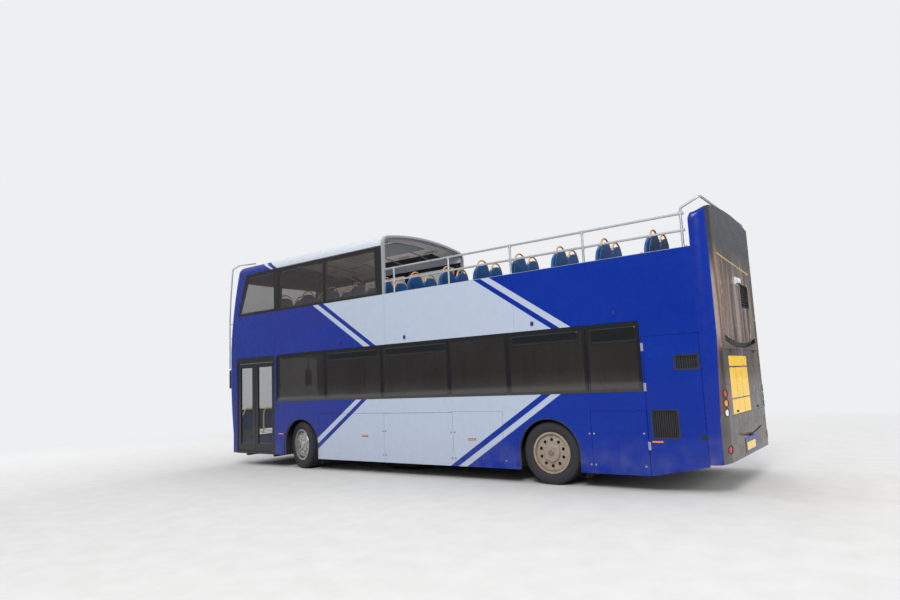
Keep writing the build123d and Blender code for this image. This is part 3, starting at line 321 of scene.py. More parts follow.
@dataclass(frozen=True)
class Coat(Paint):
    """A painted or moulded finish of one colour with wear in it."""

    name: str
    colour: Colour
    roughness: float = 0.35
    metallic: float = 0.0
    coat: float = 0.0
    grain_scale: float = 40.0
    grain: float = 0.1
    bump: float = 0.02
    dust: float = 0.0
    dust_top: float = 1.2
    specular: float = 0.5
    shade: float = 0.8
    slot: str = "black_plastic"

    def lay(self, g: Graph) -> None:
        """Lays a speckled colour, with dust low down.

        Args:
            g: The material that it goes into.
        """
        speckle = g.noise(self.grain_scale, 5.0)
        darker = tuple(c * self.shade for c in self.colour)
        colour = g.mix(g.spread(speckle, 0.3, 0.7), darker, self.colour)
        if self.dust:
            colour = g.dusted(colour, self.dust_top, self.dust)
        g.put(Base_Color=colour, Metallic=self.metallic, Coat_Weight=self.coat)
        g.put(Coat_Roughness=0.06, Specular_IOR_Level=self.specular)
        low, high = max(0.02, self.roughness - self.grain), min(1.0, self.roughness + self.grain)
        g.put(Roughness=g.spread(g.noise(self.grain_scale * 0.3, 4.0), 0.25, 0.75, low, high))
        if self.bump:
            g.bump(speckle, self.bump, 0.001)


@dataclass(frozen=True)
class StripeLine:
    """A slanted edge of a stripe: its x at two heights."""

    low_z: float
    low_x: float
    high_z: float
    high_x: float

    def ahead(self, g: Graph) -> Socket:
        """One ahead of the line and zero behind it.

        Args:
            g: The material that the test goes into.

        Returns:
            The socket with the test's result.
        """
        slope = (self.high_x - self.low_x) / (self.high_z - self.low_z)
        line_x = g.maths("MULTIPLY_ADD", g.z, slope, self.low_x - slope * self.low_z)
        return g.spread(g.maths("SUBTRACT", g.x, line_x), -0.0015, 0.0015)


@dataclass(frozen=True)
class Seam:
    """A joint between two panels, drawn as a fine dark line from one end to the other."""

    x0: float
    z0: float
    x1: float
    z1: float
    half: float = 0.0016

    def drawn(self, g: Graph) -> Socket:
        """One on the line and zero beside it.

        Args:
            g: The material that the line goes into.

        Returns:
            The socket with the line.
        """
        along, over = (self.x0, self.x1, g.x), (self.z0, self.z1, g.z)
        if abs(self.x1 - self.x0) <= abs(self.z1 - self.z0):
            along, over = over, along
        slope = (over[1] - over[0]) / (along[1] - along[0])
        middle = g.maths("MULTIPLY_ADD", along[2], slope, over[0] - slope * along[0])
        return g.times(g.near(over[2], middle, self.half), g.between(along[2], *sorted(along[:2])))


@dataclass(frozen=True)
class Livery(Paint):
    """Blue coach paint with the pale centre panels, the slanted stripes and the panel joints."""

    name: str = "livery_paint"
    slot: str = "body_blue"
    front_blue_with_painted_light: Colour = (0.0200, 0.0320, 0.215)
    painted_sheen_blue: Colour = (0.004, 0.040, 0.310)
    silver_in_painted_shade: Colour = (0.415, 0.465, 0.570)
    silver_shade: Colour = (0.330, 0.370, 0.450)
    white: Colour = (0.545, 0.575, 0.620)
    seam_blue: Colour = (0.0020, 0.0040, 0.050)
    pillar_black: Colour = (0.005, 0.005, 0.006)
    inner_grey: Colour = (0.150, 0.165, 0.205)
    roof_from_z: float = 3.9
    window_band: tuple[float, float] = (1.352, 2.242)
    window_run: tuple[float, float] = (-4.262, 3.500)
    upper: tuple[StripeLine, ...] = tuple(
        StripeLine(HEAD_Z, low_x, COAMING_Z, high_x)
        for low_x, high_x in (
            (-3.247, -1.871), (-3.071, -1.705), (-2.929, -1.567),
            (0.657, 2.030), (0.796, 2.181), (0.958, 2.333),
        )
    )
    lower: tuple[StripeLine, ...] = tuple(
        StripeLine(low_z, low_x, 1.325, high_x)
        for low_z, low_x, high_x in (
            (0.194, -1.250, -3.024), (0.189, -1.073, -2.865), (0.191, -0.915, -2.705),
            (0.415, 2.222, 0.910), (0.510, 2.232, 1.042), (0.594, 2.270, 1.189),
        )
    )
    roof: tuple[StripeLine, ...] = tuple(
        StripeLine(4.100, low_x, 4.280, high_x)
        for low_x, high_x in ((3.400, 3.690), (3.520, 3.830), (3.580, 3.940))
    )
    seams: tuple[Seam, ...] = (
        Seam(-0.990, 1.085, -1.997, 1.073, 0.0022),
        Seam(-1.997, 1.073, -1.960, 0.262, 0.0022),
        Seam(-4.900, 2.064, -5.060, 2.055, 0.0022),
        Seam(-4.300, 0.800, -5.060, 0.712),
        Seam(-4.300, 0.447, -5.060, 0.494),
        Seam(-3.950, 0.986, -4.163, 0.986),
        Seam(-3.950, 0.773, -4.163, 0.773),
        Seam(-3.950, 0.773, -3.950, 0.986),
        Seam(-4.163, 0.773, -4.163, 0.986),
        Seam(-4.480, 3.015, -5.060, 2.962),
        Seam(3.535, HEAD_Z, 3.535, COAMING_Z, 0.0014),
        Seam(0.420, HEAD_Z, 0.420, COAMING_Z, 0.0014),
        Seam(-2.290, HEAD_Z, -2.290, COAMING_Z, 0.0014),
    )

    def pale(self, g: Graph, lines: tuple[StripeLine, ...]) -> Socket:
        """One where a band's panel or pale stripe lies, and zero on blue.

        Args:
            g: The material that the band goes into.
            lines: The band's edges, from the rear to the front.

        Returns:
            The socket with the band.
        """
        total: object = 0.0
        for i, line in enumerate(lines):
            total = g.maths("MULTIPLY_ADD", line.ahead(g), 1.0 - 2.0 * (i % 2), total)
        return total

    def bands(self, g: Graph, above_glass: Socket) -> Socket:
        """One on the pale parts of the lower side, the upper side and the roof.

        Args:
            g: The material that the bands go into.
            above_glass: One above the canopy's glass.

        Returns:
            The socket with the bands.
        """
        lower = g.times(self.pale(g, self.lower), g.spread(g.z, 1.400, 1.398))
        first, second, third = (line.ahead(g) for line in self.roof)
        roof = g.maths("ADD", g.maths("SUBTRACT", 1.0, first), g.maths("SUBTRACT", second, third))
        pale = g.mix(g.maths("GREATER_THAN", g.z, HEAD_Z), lower, self.pale(g, self.upper))
        return g.mix(above_glass, pale, roof)

    def lay(self, g: Graph) -> None:
        """Lays the colour fields with painted light, a painted sheen and painted shade in the blue and the
        silver, the seams, the black band and the inner faces.

        Args:
            g: The material that it goes into.
        """
        above_glass = g.maths("GREATER_THAN", g.z, self.roof_from_z)
        # Painted light: the blue turns redder towards the front, copying how the one paint looks with
        # reflections on its front part.
        blue = g.mix(g.spread(g.x, -1.5, 2.5), REAR_BLUE, self.front_blue_with_painted_light)
        # Painted sheen: noise patches of a brighter blue stand in for reflections on the paint.
        painted_sheen = g.spread(g.noise(0.8, 4.0, (1.0, 1.0, 1.8)), 0.35, 0.70, 0.0, 0.30)
        blue = g.mix(painted_sheen, blue, self.painted_sheen_blue)
        # The side panels' silver is partly their own colour and partly painted shade: its darker, bluer tone
        # is how the panels look in shade under sky light.
        light = g.mix(above_glass, self.silver_in_painted_shade, self.white)
        cloud = g.spread(g.noise(1.2, 4.0, (0.5, 1.0, 1.0)), 0.3, 0.7, 0.88, 1.0)
        light = g.mix(cloud, self.silver_shade, light)
        colour = g.dusted(g.mix(self.bands(g, above_glass), blue, light), 0.75, 0.22)
        lines: object = 0.0
        for seam in self.seams:
            lines = g.most(lines, seam.drawn(g))
        lines = g.times(lines, g.spread(g.off_middle(), 1.262, 1.268, 0.0, 0.72))
        colour = g.mix(lines, colour, self.seam_blue)
        pillars = g.times(g.between(g.z, *self.window_band), g.between(g.x, *self.window_run))
        colour = g.mix(pillars, colour, self.pillar_black)
        inside = g.times(g.spread(g.off_middle(), 1.256, 1.254), g.maths("LESS_THAN", g.x, 4.45))
        inside = g.times(inside, g.spread(g.z, 4.05, 4.04))
        g.put(Base_Color=g.mix(inside, colour, self.inner_grey), Coat_Weight=0.10, Coat_Roughness=0.05)
        g.put(Specular_IOR_Level=0.18, Roughness=g.patchy(6.0, 0.20, 0.34))
        g.bump(g.noise(1.7, 1.0, (1.0, 1.0, 1.6)), 0.20, 0.003)


@dataclass(frozen=True)
class RearWrap(Paint):
    """The rear's printed film of blurred evening lights over plain amber blocks, and blue corners."""

    name: str = "rear_film"
    slot: str = "rear_wrap"
    dark: Colour = (0.016, 0.014, 0.015)
    haze: Colour = (0.085, 0.070, 0.064)
    stone: Colour = (0.330, 0.250, 0.200)
    rose: Colour = (0.330, 0.150, 0.090)
    lamp_glow: Colour = (0.620, 0.330, 0.150)
    top_black: Colour = (0.030, 0.029, 0.032)
    rule_yellow: Colour = (0.520, 0.400, 0.070)
    low_grey: Colour = (0.105, 0.095, 0.090)
    amber: Colour = (0.800, 0.500, 0.018)
    amber_shade: Colour = (0.700, 0.360, 0.012)
    painted_recess_shade: Colour = (0.012, 0.012, 0.013)
    inner_grey: Colour = (0.16, 0.17, 0.20)

    def lights(self, g: Graph) -> Socket:
        """The film's blurred upright lights and round glows.

        Args:
            g: The material that the picture goes into.

        Returns:
            The socket with the colour.
        """
        grain = g.spread(g.noise(2.4, 5.0, (1.0, 1.0, 0.5)), 0.30, 0.75)
        base = g.mix(grain, self.dark, self.haze)
        tall = g.times(g.spread(g.z, 1.80, 2.05), g.spread(g.z, 3.10, 2.75))
        columns = g.spread(g.noise(1.5, 3.0, (1.0, 2.6, 0.24)), 0.47, 0.60)
        base = g.mix(g.times(columns, g.times(tall, 0.80)), base, self.stone)
        warm = g.spread(g.noise(2.3, 2.0, (1.0, 3.2, 0.22)), 0.50, 0.72)
        base = g.mix(g.times(warm, g.spread(g.z, 1.30, 1.90, 0.25, 0.75)), base, self.rose)
        where = g.spread(g.noise(1.6, 2.0), 0.46, 0.56)
        strength = g.times(where, g.spread(g.z, 1.6, 2.4, 0.35, 0.85))
        return g.mix(g.times(g.spread(g.cells(5.5), 0.24, 0.08), strength), base, self.lamp_glow)

    def blocks(self, g: Graph) -> Socket:
        """One where the plain amber blocks lie.

        Args:
            g: The material that the blocks go into.

        Returns:
            The socket with the blocks.
        """
        zone = g.times(g.between(g.y, -0.17, 0.85), g.between(g.z, 0.985, 1.75))
        lines = g.most(g.near(g.z, 1.605, 0.010), g.near(g.z, 1.185, 0.009))
        below = g.maths("LESS_THAN", g.z, 1.605)
        for y in (0.520, 0.190):
            lines = g.most(lines, g.times(below, g.near(g.y, y, 0.006)))
        return g.times(zone, g.maths("SUBTRACT", 1.0, lines))

    def lay(self, g: Graph) -> None:
        """Lays the film, its blue corners, painted shade in the recesses and the inner faces.

        Args:
            g: The material that it goes into.
        """
        lit = g.mix(g.spread(g.z, 3.05, 3.30), self.lights(g), self.top_black)
        rule = g.near(g.z, g.maths("MULTIPLY_ADD", g.y, 0.0586, 3.068), 0.009)
        lit = g.mix(g.times(rule, g.between(g.y, -0.88, 0.95)), lit, self.rule_yellow)
        lit = g.mix(g.spread(g.z, 1.00, 0.97), lit, self.low_grey)
        shade = g.mix(g.spread(g.noise(3.0, 4.0), 0.35, 0.7, 0.0, 0.35), self.amber, self.amber_shade)
        lit = g.mix(self.blocks(g), lit, shade)
        edge = g.spread(g.z, 0.5, 2.0, -5.190, -5.245)
        side = g.spread(g.maths("SUBTRACT", g.x, edge), -0.001, 0.001)
        side = g.times(side, g.maths("GREATER_THAN", g.off_middle(), 1.120))
        # Painted shade: surfaces sunk behind the rear face are painted near black and stand in for the shadow
        # in the recesses.
        recess_shade_mask = g.times(g.spread(g.x, -5.2795, -5.274), g.maths("LESS_THAN", g.off_middle(), 1.0))
        outer = g.mix(side, g.mix(recess_shade_mask, lit, self.painted_recess_shade), REAR_BLUE)
        colour = g.dusted(g.mix(g.spread(g.facing_x, 0.30, 0.36), outer, self.inner_grey), 1.0, 0.22)
        g.put(Base_Color=colour, Coat_Weight=0.12, Coat_Roughness=0.06, Specular_IOR_Level=0.25)
        g.put(Roughness=g.patchy(7.0, 0.22, 0.36))
        g.bump(g.noise(2.3, 1.0), 0.15, 0.003)


@dataclass(frozen=True)
class BumperPaint(Paint):
    """Grey film on the bumper, with the blue of the sides round its corners."""

    name: str = "bumper_paint"
    slot: str = "rear_grey"
    grey: Colour = (0.078, 0.072, 0.068)
    streak_grey: Colour = (0.120, 0.100, 0.090)

    def lay(self, g: Graph) -> None:
        """Lays the streaked grey and the blue ends.

        Args:
            g: The material that it goes into.
        """
        streak = g.spread(g.noise(3.0, 4.0, (1.0, 0.3, 2.0)), 0.3, 0.75, 0.0, 0.55)
        grey = g.mix(streak, self.grey, self.streak_grey)
        colour = g.dusted(g.mix(g.spread(g.x, -5.201, -5.199), grey, REAR_BLUE), 0.8, 0.45)
        g.put(Base_Color=colour, Coat_Weight=0.12, Coat_Roughness=0.10, Specular_IOR_Level=0.25)
        g.put(Roughness=g.patchy(9.0, 0.30, 0.48))
        g.bump(g.noise(60.0, 2.0), 0.04, 0.001)


@dataclass(frozen=True)
class WindowGlass(Paint):
    """Tinted bonded glass with a black printed border round every pane."""

    name: str
    tint: Colour
    alpha: float
    joints: tuple[float, ...]
    low: float
    high: float
    border: float = 0.047
    wide: tuple[tuple[float, float], ...] = ()
    grime_and_reflection: Colour = (0.30, 0.29, 0.27)
    slot: str = "dark_glass"

    def lay(self, g: Graph) -> None:
        """Lays the printed border, the tint, and a film of dirt whose noisy smears also stand in for painted
        reflections.

        Args:
            g: The material that it goes into.
        """
        mask = g.spread(g.z, self.low + 0.001, self.low)
        mask = g.most(mask, g.spread(g.z, self.high - 0.001, self.high))
        for x in self.joints:
            mask = g.most(mask, g.near(g.x, x, self.border))
        for low, high in self.wide:
            mask = g.most(mask, g.between(g.x, low, high))
        # The pale smears are partly dirt and partly painted reflection in the glass; the film low down is
        # dirt.
        smear_and_reflection = g.spread(g.noise(2.2, 5.0, (1.0, 1.0, 0.5)), 0.42, 0.85)
        film = g.spread(g.z, self.low, self.low + 0.30, 0.22, 0.0)
        dirt_and_reflection = g.maths("ADD", g.times(smear_and_reflection, 0.10), film)
        clear = g.mix(g.times(dirt_and_reflection, 0.4), self.tint, self.grime_and_reflection)
        g.put(Base_Color=g.mix(mask, clear, BLACK_PRINT), Coat_Weight=0.20, Coat_Roughness=0.02)
        g.put(Roughness=g.maths("MULTIPLY_ADD", smear_and_reflection, 0.05, 0.03), IOR=1.52, Specular_IOR_Level=0.70)
        g.put(Alpha=g.spread(g.most(mask, g.maths("MULTIPLY_ADD", dirt_and_reflection, 0.25, self.alpha)), 0.0, 1.0))


@dataclass(frozen=True)
class LampLens(Paint):
    """Ribbed lamp lenses, coloured by their height on the rear corners."""

    name: str = "rear_lenses"
    slot: str = "lamp_red"
    red: Colour = (0.46, 0.010, 0.008)
    amber: Colour = (0.80, 0.26, 0.02)
    clear: Colour = (0.72, 0.74, 0.74)
    rib_shade: Colour = (0.05, 0.03, 0.03)

    def lay(self, g: Graph) -> None:
        """Lays the three colours and the ribs.

        Args:
            g: The material that it goes into.
        """
        colour = g.mix(g.between(g.z, 1.09, 1.20), self.red, self.amber)
        colour = g.mix(g.between(g.z, 0.97, 1.08), colour, self.clear)
        ribs = g.maths("SINE", g.times(g.z, 900.0))
        g.put(Base_Color=g.mix(g.spread(ribs, -1.0, 1.0, 0.0, 0.25), colour, self.rib_shade))
        g.put(Roughness=g.spread(g.noise(40.0), 0.3, 0.7, 0.08, 0.16), Coat_Weight=0.8, Coat_Roughness=0.03)
        g.bump(ribs, 0.2, 0.001)


@dataclass(frozen=True)
class SeatCloth(Paint):
    """Weatherproof seat cover: a fine leather grain and soft wear."""

    name: str
    colour: Colour
    worn: Colour
    slot: str = "seat_blue"

    def lay(self, g: Graph) -> None:
        """Lays the worn colour and the grain.

        Args:
            g: The material that it goes into.
        """
        grain = g.cells(420.0)
        patch = g.spread(g.noise(7.0, 5.0), 0.35, 0.75)
        colour = g.mix(g.times(patch, 0.45), self.colour, self.worn)
        colour = g.mix(g.spread(grain, 0.0, 0.5, 0.35, 0.0), colour, tuple(c * 0.45 for c in self.colour))
        g.put(Base_Color=colour, Specular_IOR_Level=0.45, Sheen_Weight=0.12)
        g.put(Roughness=g.spread(patch, 0.0, 1.0, 0.52, 0.38))
        g.bump(grain, 0.35, 0.0012)
        g.bump(g.noise(28.0, 4.0), 0.18, 0.003)


@dataclass(frozen=True)
class Plank(Paint):
    """Hard floor covering with ribs along the bus and worn tracks."""

    name: str = "floor_vinyl"
    slot: str = "floor_vinyl"
    pale: Colour = (0.085, 0.095, 0.115)
    fleck: Colour = (0.030, 0.034, 0.042)
    worn: Colour = (0.20, 0.195, 0.185)

    def lay(self, g: Graph) -> None:
        """Lays the flecks, the wear and the ribs of the aisle.

        Args:
            g: The material that it goes into.
        """
        flecks = g.cells(160.0)
        ribs = g.maths("SINE", g.times(g.y, 420.0))
        aisle = g.maths("SUBTRACT", 1.0, g.spread(g.off_middle(), 0.30, 0.36))
        base = g.mix(g.spread(flecks, 0.0, 0.4, 0.6, 0.0), self.pale, self.fleck)
        wear = g.times(g.spread(g.noise(2.2, 5.0), 0.4, 0.7), 0.5)
        g.put(Base_Color=g.mix(wear, base, self.worn), Specular_IOR_Level=0.35)
        g.put(Roughness=g.patchy(9.0, 0.48, 0.68))
        g.bump(g.times(ribs, aisle), 0.3, 0.0015)
        g.bump(flecks, 0.12, 0.001)


class Finish(Enum):
    """The finishes of the bus."""

    LIVERY = Livery()
    WRAP = RearWrap()
    BUMPER = BumperPaint()
    GLASS = WindowGlass("saloon_glass", (0.016, 0.012, 0.011), 0.79, SALOON_JOINTS, 1.366, 2.228)
    CANOPY_GLASS = WindowGlass(
        "canopy_glass", (0.050, 0.038, 0.028), 0.40, (0.565,), 3.240, 4.062, 0.022,
        ((1.947, 2.009), (3.369, 3.552)),
    )
    SCREEN = WindowGlass("screen_glass", (0.030, 0.038, 0.038), 0.22, (), 1.150, 4.000, slot="clear_glass")
    DOOR_GLASS = WindowGlass("door_glass", (0.030, 0.036, 0.036), 0.20, (), 0.470, 2.060, slot="clear_glass")
    HOPPER = Coat(
        "hopper_glass", (0.004, 0.004, 0.005), 0.06, coat=0.4, grain=0.03, bump=0.0, slot="dark_glass"
    )
    BLACK = Coat(
        "black_frame", (0.006, 0.006, 0.007), 0.24, coat=0.10, specular=0.3, grain=0.06, bump=0.01, dust=0.12,
        slot="black_frame",
    )
    RUBBER = Coat("black_rubber", (0.016, 0.016, 0.016), 0.7, grain_scale=120.0, bump=0.1, dust=0.25)
    TYRE = Coat(
        "tyre_rubber", (0.0115, 0.0110, 0.0110), 0.74, grain_scale=90.0, bump=0.25, dust=0.24, dust_top=1.4,
        specular=0.3, slot="tyre_rubber",
    )
    PLASTIC = Coat("black_plastic", (0.018, 0.018, 0.019), 0.5, grain_scale=200.0, bump=0.12, dust=0.2)
    BLUE_PLASTIC = Coat(
        "blue_plastic", (0.004, 0.018, 0.200), 0.38, coat=0.2, grain_scale=150.0, slot="body_blue"
    )
    WHITE = Coat("white_moulding", (0.62, 0.63, 0.63), 0.42, grain_scale=120.0, slot="roof_white")
    MESH = Coat("grille_back", (0.006, 0.006, 0.006), 0.8, grain_scale=300.0, bump=0.4, slot="black_frame")
    SILVER = Coat(
        "satin_silver", (0.55, 0.57, 0.60), 0.32, metallic=0.85, grain_scale=60.0, slot="arch_silver"
    )
    ALLOY = Coat("dull_alloy", (0.42, 0.44, 0.47), 0.42, metallic=0.7, grain_scale=60.0, slot="arch_silver")
    STEEL = Coat(
        "rail_steel", (0.50, 0.50, 0.49), 0.30, metallic=0.9, grain_scale=80.0, bump=0.03, slot="rail_steel"
    )
    ARCH = Coat("arch_silver", (0.60, 0.63, 0.68), 0.38, metallic=0.30, grain_scale=30.0, slot="arch_silver")
    RIM = Coat(
        "rear_wheel_paint", (0.360, 0.290, 0.220), 0.50, metallic=0.15, grain_scale=22.0, bump=0.15,
        dust=0.35, shade=0.72, slot="rim_silver",
    )
    RIM_FRONT = Coat(
        "front_wheel_silver", (0.50, 0.50, 0.49), 0.34, metallic=0.65, grain_scale=25.0, bump=0.10, dust=0.35,
        slot="rim_silver",
    )
    HUB = Coat(
        "hub_metal", (0.230, 0.190, 0.150), 0.42, metallic=0.45, grain_scale=35.0, bump=0.12,
        slot="rim_silver",
    )
    IRON = Coat(
        "axle_iron", (0.035, 0.033, 0.031), 0.65, metallic=0.3, grain_scale=30.0, bump=0.3, dust=0.6,
        slot="axle_iron",
    )
    CHASSIS = Coat(
        "chassis_black", (0.022, 0.022, 0.023), 0.55, grain_scale=20.0, bump=0.15, dust=0.5,
        slot="chassis_black",
    )
    FLOOR = Plank()
    TRIM = Coat("trim_grey", (0.29, 0.30, 0.32), 0.5, grain_scale=150.0, bump=0.06, slot="trim_grey")
    LINING = Coat("canopy_lining", (0.78, 0.73, 0.67), 0.55, grain_scale=70.0, slot="trim_grey")
    SEAT = SeatCloth("seat_cover", (0.008, 0.085, 0.270), (0.030, 0.160, 0.380))
    SEAT_GREY = SeatCloth("driver_cover", (0.030, 0.032, 0.036), (0.080, 0.080, 0.085), "trim_grey")
    SEAT_SHELL = Coat(
        "seat_shell", (0.010, 0.070, 0.210), 0.36, coat=0.15, grain_scale=120.0, bump=0.05, slot="seat_blue"
    )
    ORANGE = Coat("handle_orange", (0.60, 0.27, 0.07), 0.38, coat=0.2, grain_scale=60.0, slot="handle_orange")
    YELLOW = Coat("rail_yellow", (0.72, 0.48, 0.06), 0.38, coat=0.2, grain_scale=60.0, slot="pole_yellow")
    LENSES = LampLens()
    LENS_RED = Coat("lens_red", (0.42, 0.008, 0.008), 0.12, coat=0.8, grain=0.03, bump=0.0, slot="lamp_red")
    LENS_AMBER = Coat(
        "lens_amber", (0.82, 0.24, 0.012), 0.15, coat=0.8, grain=0.03, bump=0.0, slot="lamp_red"
    )
    HEAD_GLASS = Coat(
        "head_lamp_glass", (0.200, 0.215, 0.230), 0.12, metallic=0.5, coat=0.6, grain_scale=260.0, bump=0.06,
        slot="lamp_clear",
    )
    LENS_CLEAR = Coat(
        "lens_clear", (0.62, 0.65, 0.67), 0.08, coat=0.9, grain=0.03, bump=0.0, slot="lamp_clear"
    )
    PLATE = Coat("plate_yellow", (0.82, 0.56, 0.02), 0.3, coat=0.3, slot="handle_orange")

    @property
    def slot(self) -> str:
        """The record's material slot that the finish belongs to."""
        return self.value.slot

    def material(self) -> bpy.types.Material:
        """The finish's material, made once."""
        return bpy.data.materials.get(self.value.name) or self.value.build()


FINISHED_NODES: dict[Finish, str] = {
    Finish.LIVERY: (
        "canopy_roof engine_side_door front_lower_panel front_upper_panel lower_side_nearside "
        "lower_side_offside skirt_flap_front skirt_flap_middle skirt_flap_rear upper_side_nearside "
        "upper_side_offside"
    ),
    Finish.WRAP: "engine_door rear_surround rear_upper_panel",
    Finish.BUMPER: "rear_bumper",
    Finish.GLASS: "saloon_glass",
    Finish.CANOPY_GLASS: "canopy_glass",
    Finish.SCREEN: "windscreens",
    Finish.DOOR_GLASS: "door_glass_front door_glass_rear",
    Finish.BLACK: "canopy_pillars door_frame door_leaf_front door_leaf_rear",
    Finish.RUBBER: "air_springs",
    Finish.TYRE: "front_tyre_left front_tyre_right rear_tyres_left rear_tyres_right",
    Finish.PLASTIC: "dashboard fixed_grilles mirrors side_grilles wheel_boxes",
    Finish.STEEL: "guard_rails rear_hoop_rail tree_guard",
    Finish.ARCH: "canopy_arch",
    Finish.RIM: "rear_rims_left rear_rims_right",
    Finish.RIM_FRONT: "front_rim_left front_rim_right",
    Finish.IRON: (
        "engine_block front_axle_beam rear_axle_housing steering_knuckle_left steering_knuckle_right"
    ),
    Finish.CHASSIS: "chassis_frame radius_rods",
    Finish.FLOOR: "lower_floor upper_floor",
    Finish.TRIM: "rear_platform staircase",
    Finish.SEAT: "lower_seats upper_seats",
    Finish.SEAT_GREY: "driver_seat",
    Finish.ORANGE: "seat_handles",
    Finish.YELLOW: "grab_poles",
    Finish.LENSES: "rear_lamps",
    Finish.HEAD_GLASS: "head_lamps",
}


def finished(name: str, mesh: bmesh.types.BMesh, material: bpy.types.Material) -> bpy.types.Object:
    """Turns a bmesh, which is used up, into an object at the origin.

    Args:
        name: The object's name.
        mesh: The shape, which is used up.
        material: Its material.

    Returns:
        The new object.
    """
    data = bpy.data.meshes.new(name)
    mesh.to_mesh(data)
    mesh.free()
    data.materials.append(material)
    piece = bpy.data.objects.new(name, data)
    bpy.context.scene.collection.objects.link(piece)
    return piece


def smooth(piece: bpy.types.Object, angle: float = 35.0) -> None:
    """Smooth shading with sharp edges kept, by modifiers alone.

    Args:
        piece: The object to shade.
        angle: The sharpest turn that is shaded smooth, in degrees.
    """
    for polygon in piece.data.polygons:
        polygon.use_smooth = True
    piece.modifiers.new("weld", "WELD").merge_threshold = 0.00005
    piece.modifiers.new("split", "EDGE_SPLIT").split_angle = math.radians(angle)
    piece.modifiers.new("even", "WEIGHTED_NORMAL").keep_sharp = True


@dataclass(frozen=True)
class Lamp:
    """A square area lamp that is aimed at a height over the middle of the bus."""

    name: str
    place: Point
    size: float
    watts: float
    aim_z: float = 2.0

    def hang(self) -> None:
        """Puts the lamp in the scene; only the key lamp shows in reflections."""
        data = bpy.data.lights.new(self.name, "AREA")
        data.size = self.size
        data.energy = self.watts
        lamp = bpy.data.objects.new(self.name, data)
        lamp.visible_glossy = self.name == "key_lamp"
        lamp.visible_camera = lamp.visible_transmission = False
        lamp.location = self.place
        aim = Vector((0.0, 0.0, self.aim_z)) - Vector(self.place)
        lamp.rotation_euler = aim.to_track_quat("-Z", "Y").to_euler()
        bpy.context.scene.collection.objects.link(lamp)


@dataclass
class Studio:
    """The photograph's camera, a pale floor and soft lamps."""

    eye: Point = (-7.376, 9.807, 1.569)
    yaw: float = -53.572
    pitch: float = 7.320
    roll: float = -2.561
    focal_px: float = 637.25
    width_px: float = 900.0
    sensor_mm: float = 36.0
    backdrop: Colour = (0.90, 0.91, 0.93)
    backdrop_glow: float = 0.95
    sky: Colour = (0.90, 0.94, 1.0)
    floor_low: Colour = (0.500, 0.490, 0.475)
    floor_high: Colour = (0.540, 0.530, 0.515)
    floor_radius: float = 120.0
    lamps: tuple[Lamp, ...] = (
        Lamp("key_lamp", (-9.0, 16.0, 15.0), 8.0, 3300.0),
        Lamp("sky_lamp", (1.0, -3.0, 20.0), 14.0, 1200.0),
        Lamp("far_lamp", (5.0, -17.0, 9.0), 9.0, 1700.0),
        Lamp("rear_lamp", (-19.0, -3.0, 7.0), 7.0, 1500.0),
        Lamp("front_lamp", (18.0, 4.0, 8.0), 7.0, 1300.0),
        Lamp("deck_bounce_lamp", (1.7, 0.0, 3.5), 1.7, 5.5, 9000.0),
    )

    def place_camera(self) -> None:
        """Sets the scene's camera where the photograph was taken."""
        yaw, pitch, roll = (math.radians(a) for a in (self.yaw, self.pitch, self.roll))
        ahead = Vector((math.cos(pitch) * math.cos(yaw), math.cos(pitch) * math.sin(yaw), math.sin(pitch)))
        right = Vector((math.sin(yaw), -math.cos(yaw), 0.0))
        above = right.cross(ahead)
        turned_right = math.cos(roll) * right + math.sin(roll) * above
        turned_above = -math.sin(roll) * right + math.cos(roll) * above
        data = bpy.data.cameras.new("photo_camera")
        data.sensor_width = self.sensor_mm
        data.lens = self.focal_px / self.width_px * self.sensor_mm
        data.clip_end = 400.0
        camera = bpy.data.objects.new("photo_camera", data)
        place = Matrix((turned_right, turned_above, -ahead)).transposed().to_4x4()
        place.translation = Vector(self.eye)
        camera.matrix_world = place
        bpy.context.scene.collection.objects.link(camera)
        bpy.context.scene.camera = camera

    def light(self) -> None:
        """Hangs the lamps, and a pale world that is darker near the horizon."""
        for lamp in self.lamps:
            lamp.hang()
        world = bpy.data.worlds.new("studio_world")
        bpy.context.scene.world = world
        world.use_nodes = True
        g = Nodes(world.node_tree)
        aloft = g.node("SeparateXYZ", g.node("TexCoord").outputs["Generated"]).outputs[2]
        ambient = g.node("Background", self.sky, g.spread(aloft, 0.02, 0.55, 0.24, 0.74))
        shown = g.node("Background", self.backdrop, self.backdrop_glow)
        rays = g.shown_to("Is Transmission Ray")
        mixed = g.node("MixShader", rays, ambient.outputs[0], shown.outputs[0])
        g.node("OutputWorld", mixed.outputs[0])
        bpy.context.scene.view_settings.view_transform = "Standard"

    def lay_floor(self) -> None:
        """Lays the pale floor, which fades into the backdrop far from the bus."""
        mesh = bmesh.new()
        bmesh.ops.create_circle(mesh, cap_ends=True, segments=96, radius=self.floor_radius)
        g = Graph("studio_floor")
        grain = g.mix(g.spread(g.noise(3.0, 5.0), 0.3, 0.7), self.floor_low, self.floor_high)
        g.put(Base_Color=grain, Roughness=0.9, Specular_IOR_Level=0.1)
        away = g.maths("SQRT", g.maths("ADD", g.maths("POWER", g.x, 2.0), g.maths("POWER", g.y, 2.0)))
        far = g.times(g.spread(away, 7.0, 16.5), g.shown_to("Is Transmission Ray", "Is Glossy Ray"))
        glow = g.node("Emission", self.backdrop, self.backdrop_glow)
        mixed = g.node("MixShader", far, g.shader.outputs[0], glow.outputs[0])
        g.feed(g.output.inputs[0], mixed.outputs[0])
        finished("studio_floor", mesh, g.material)


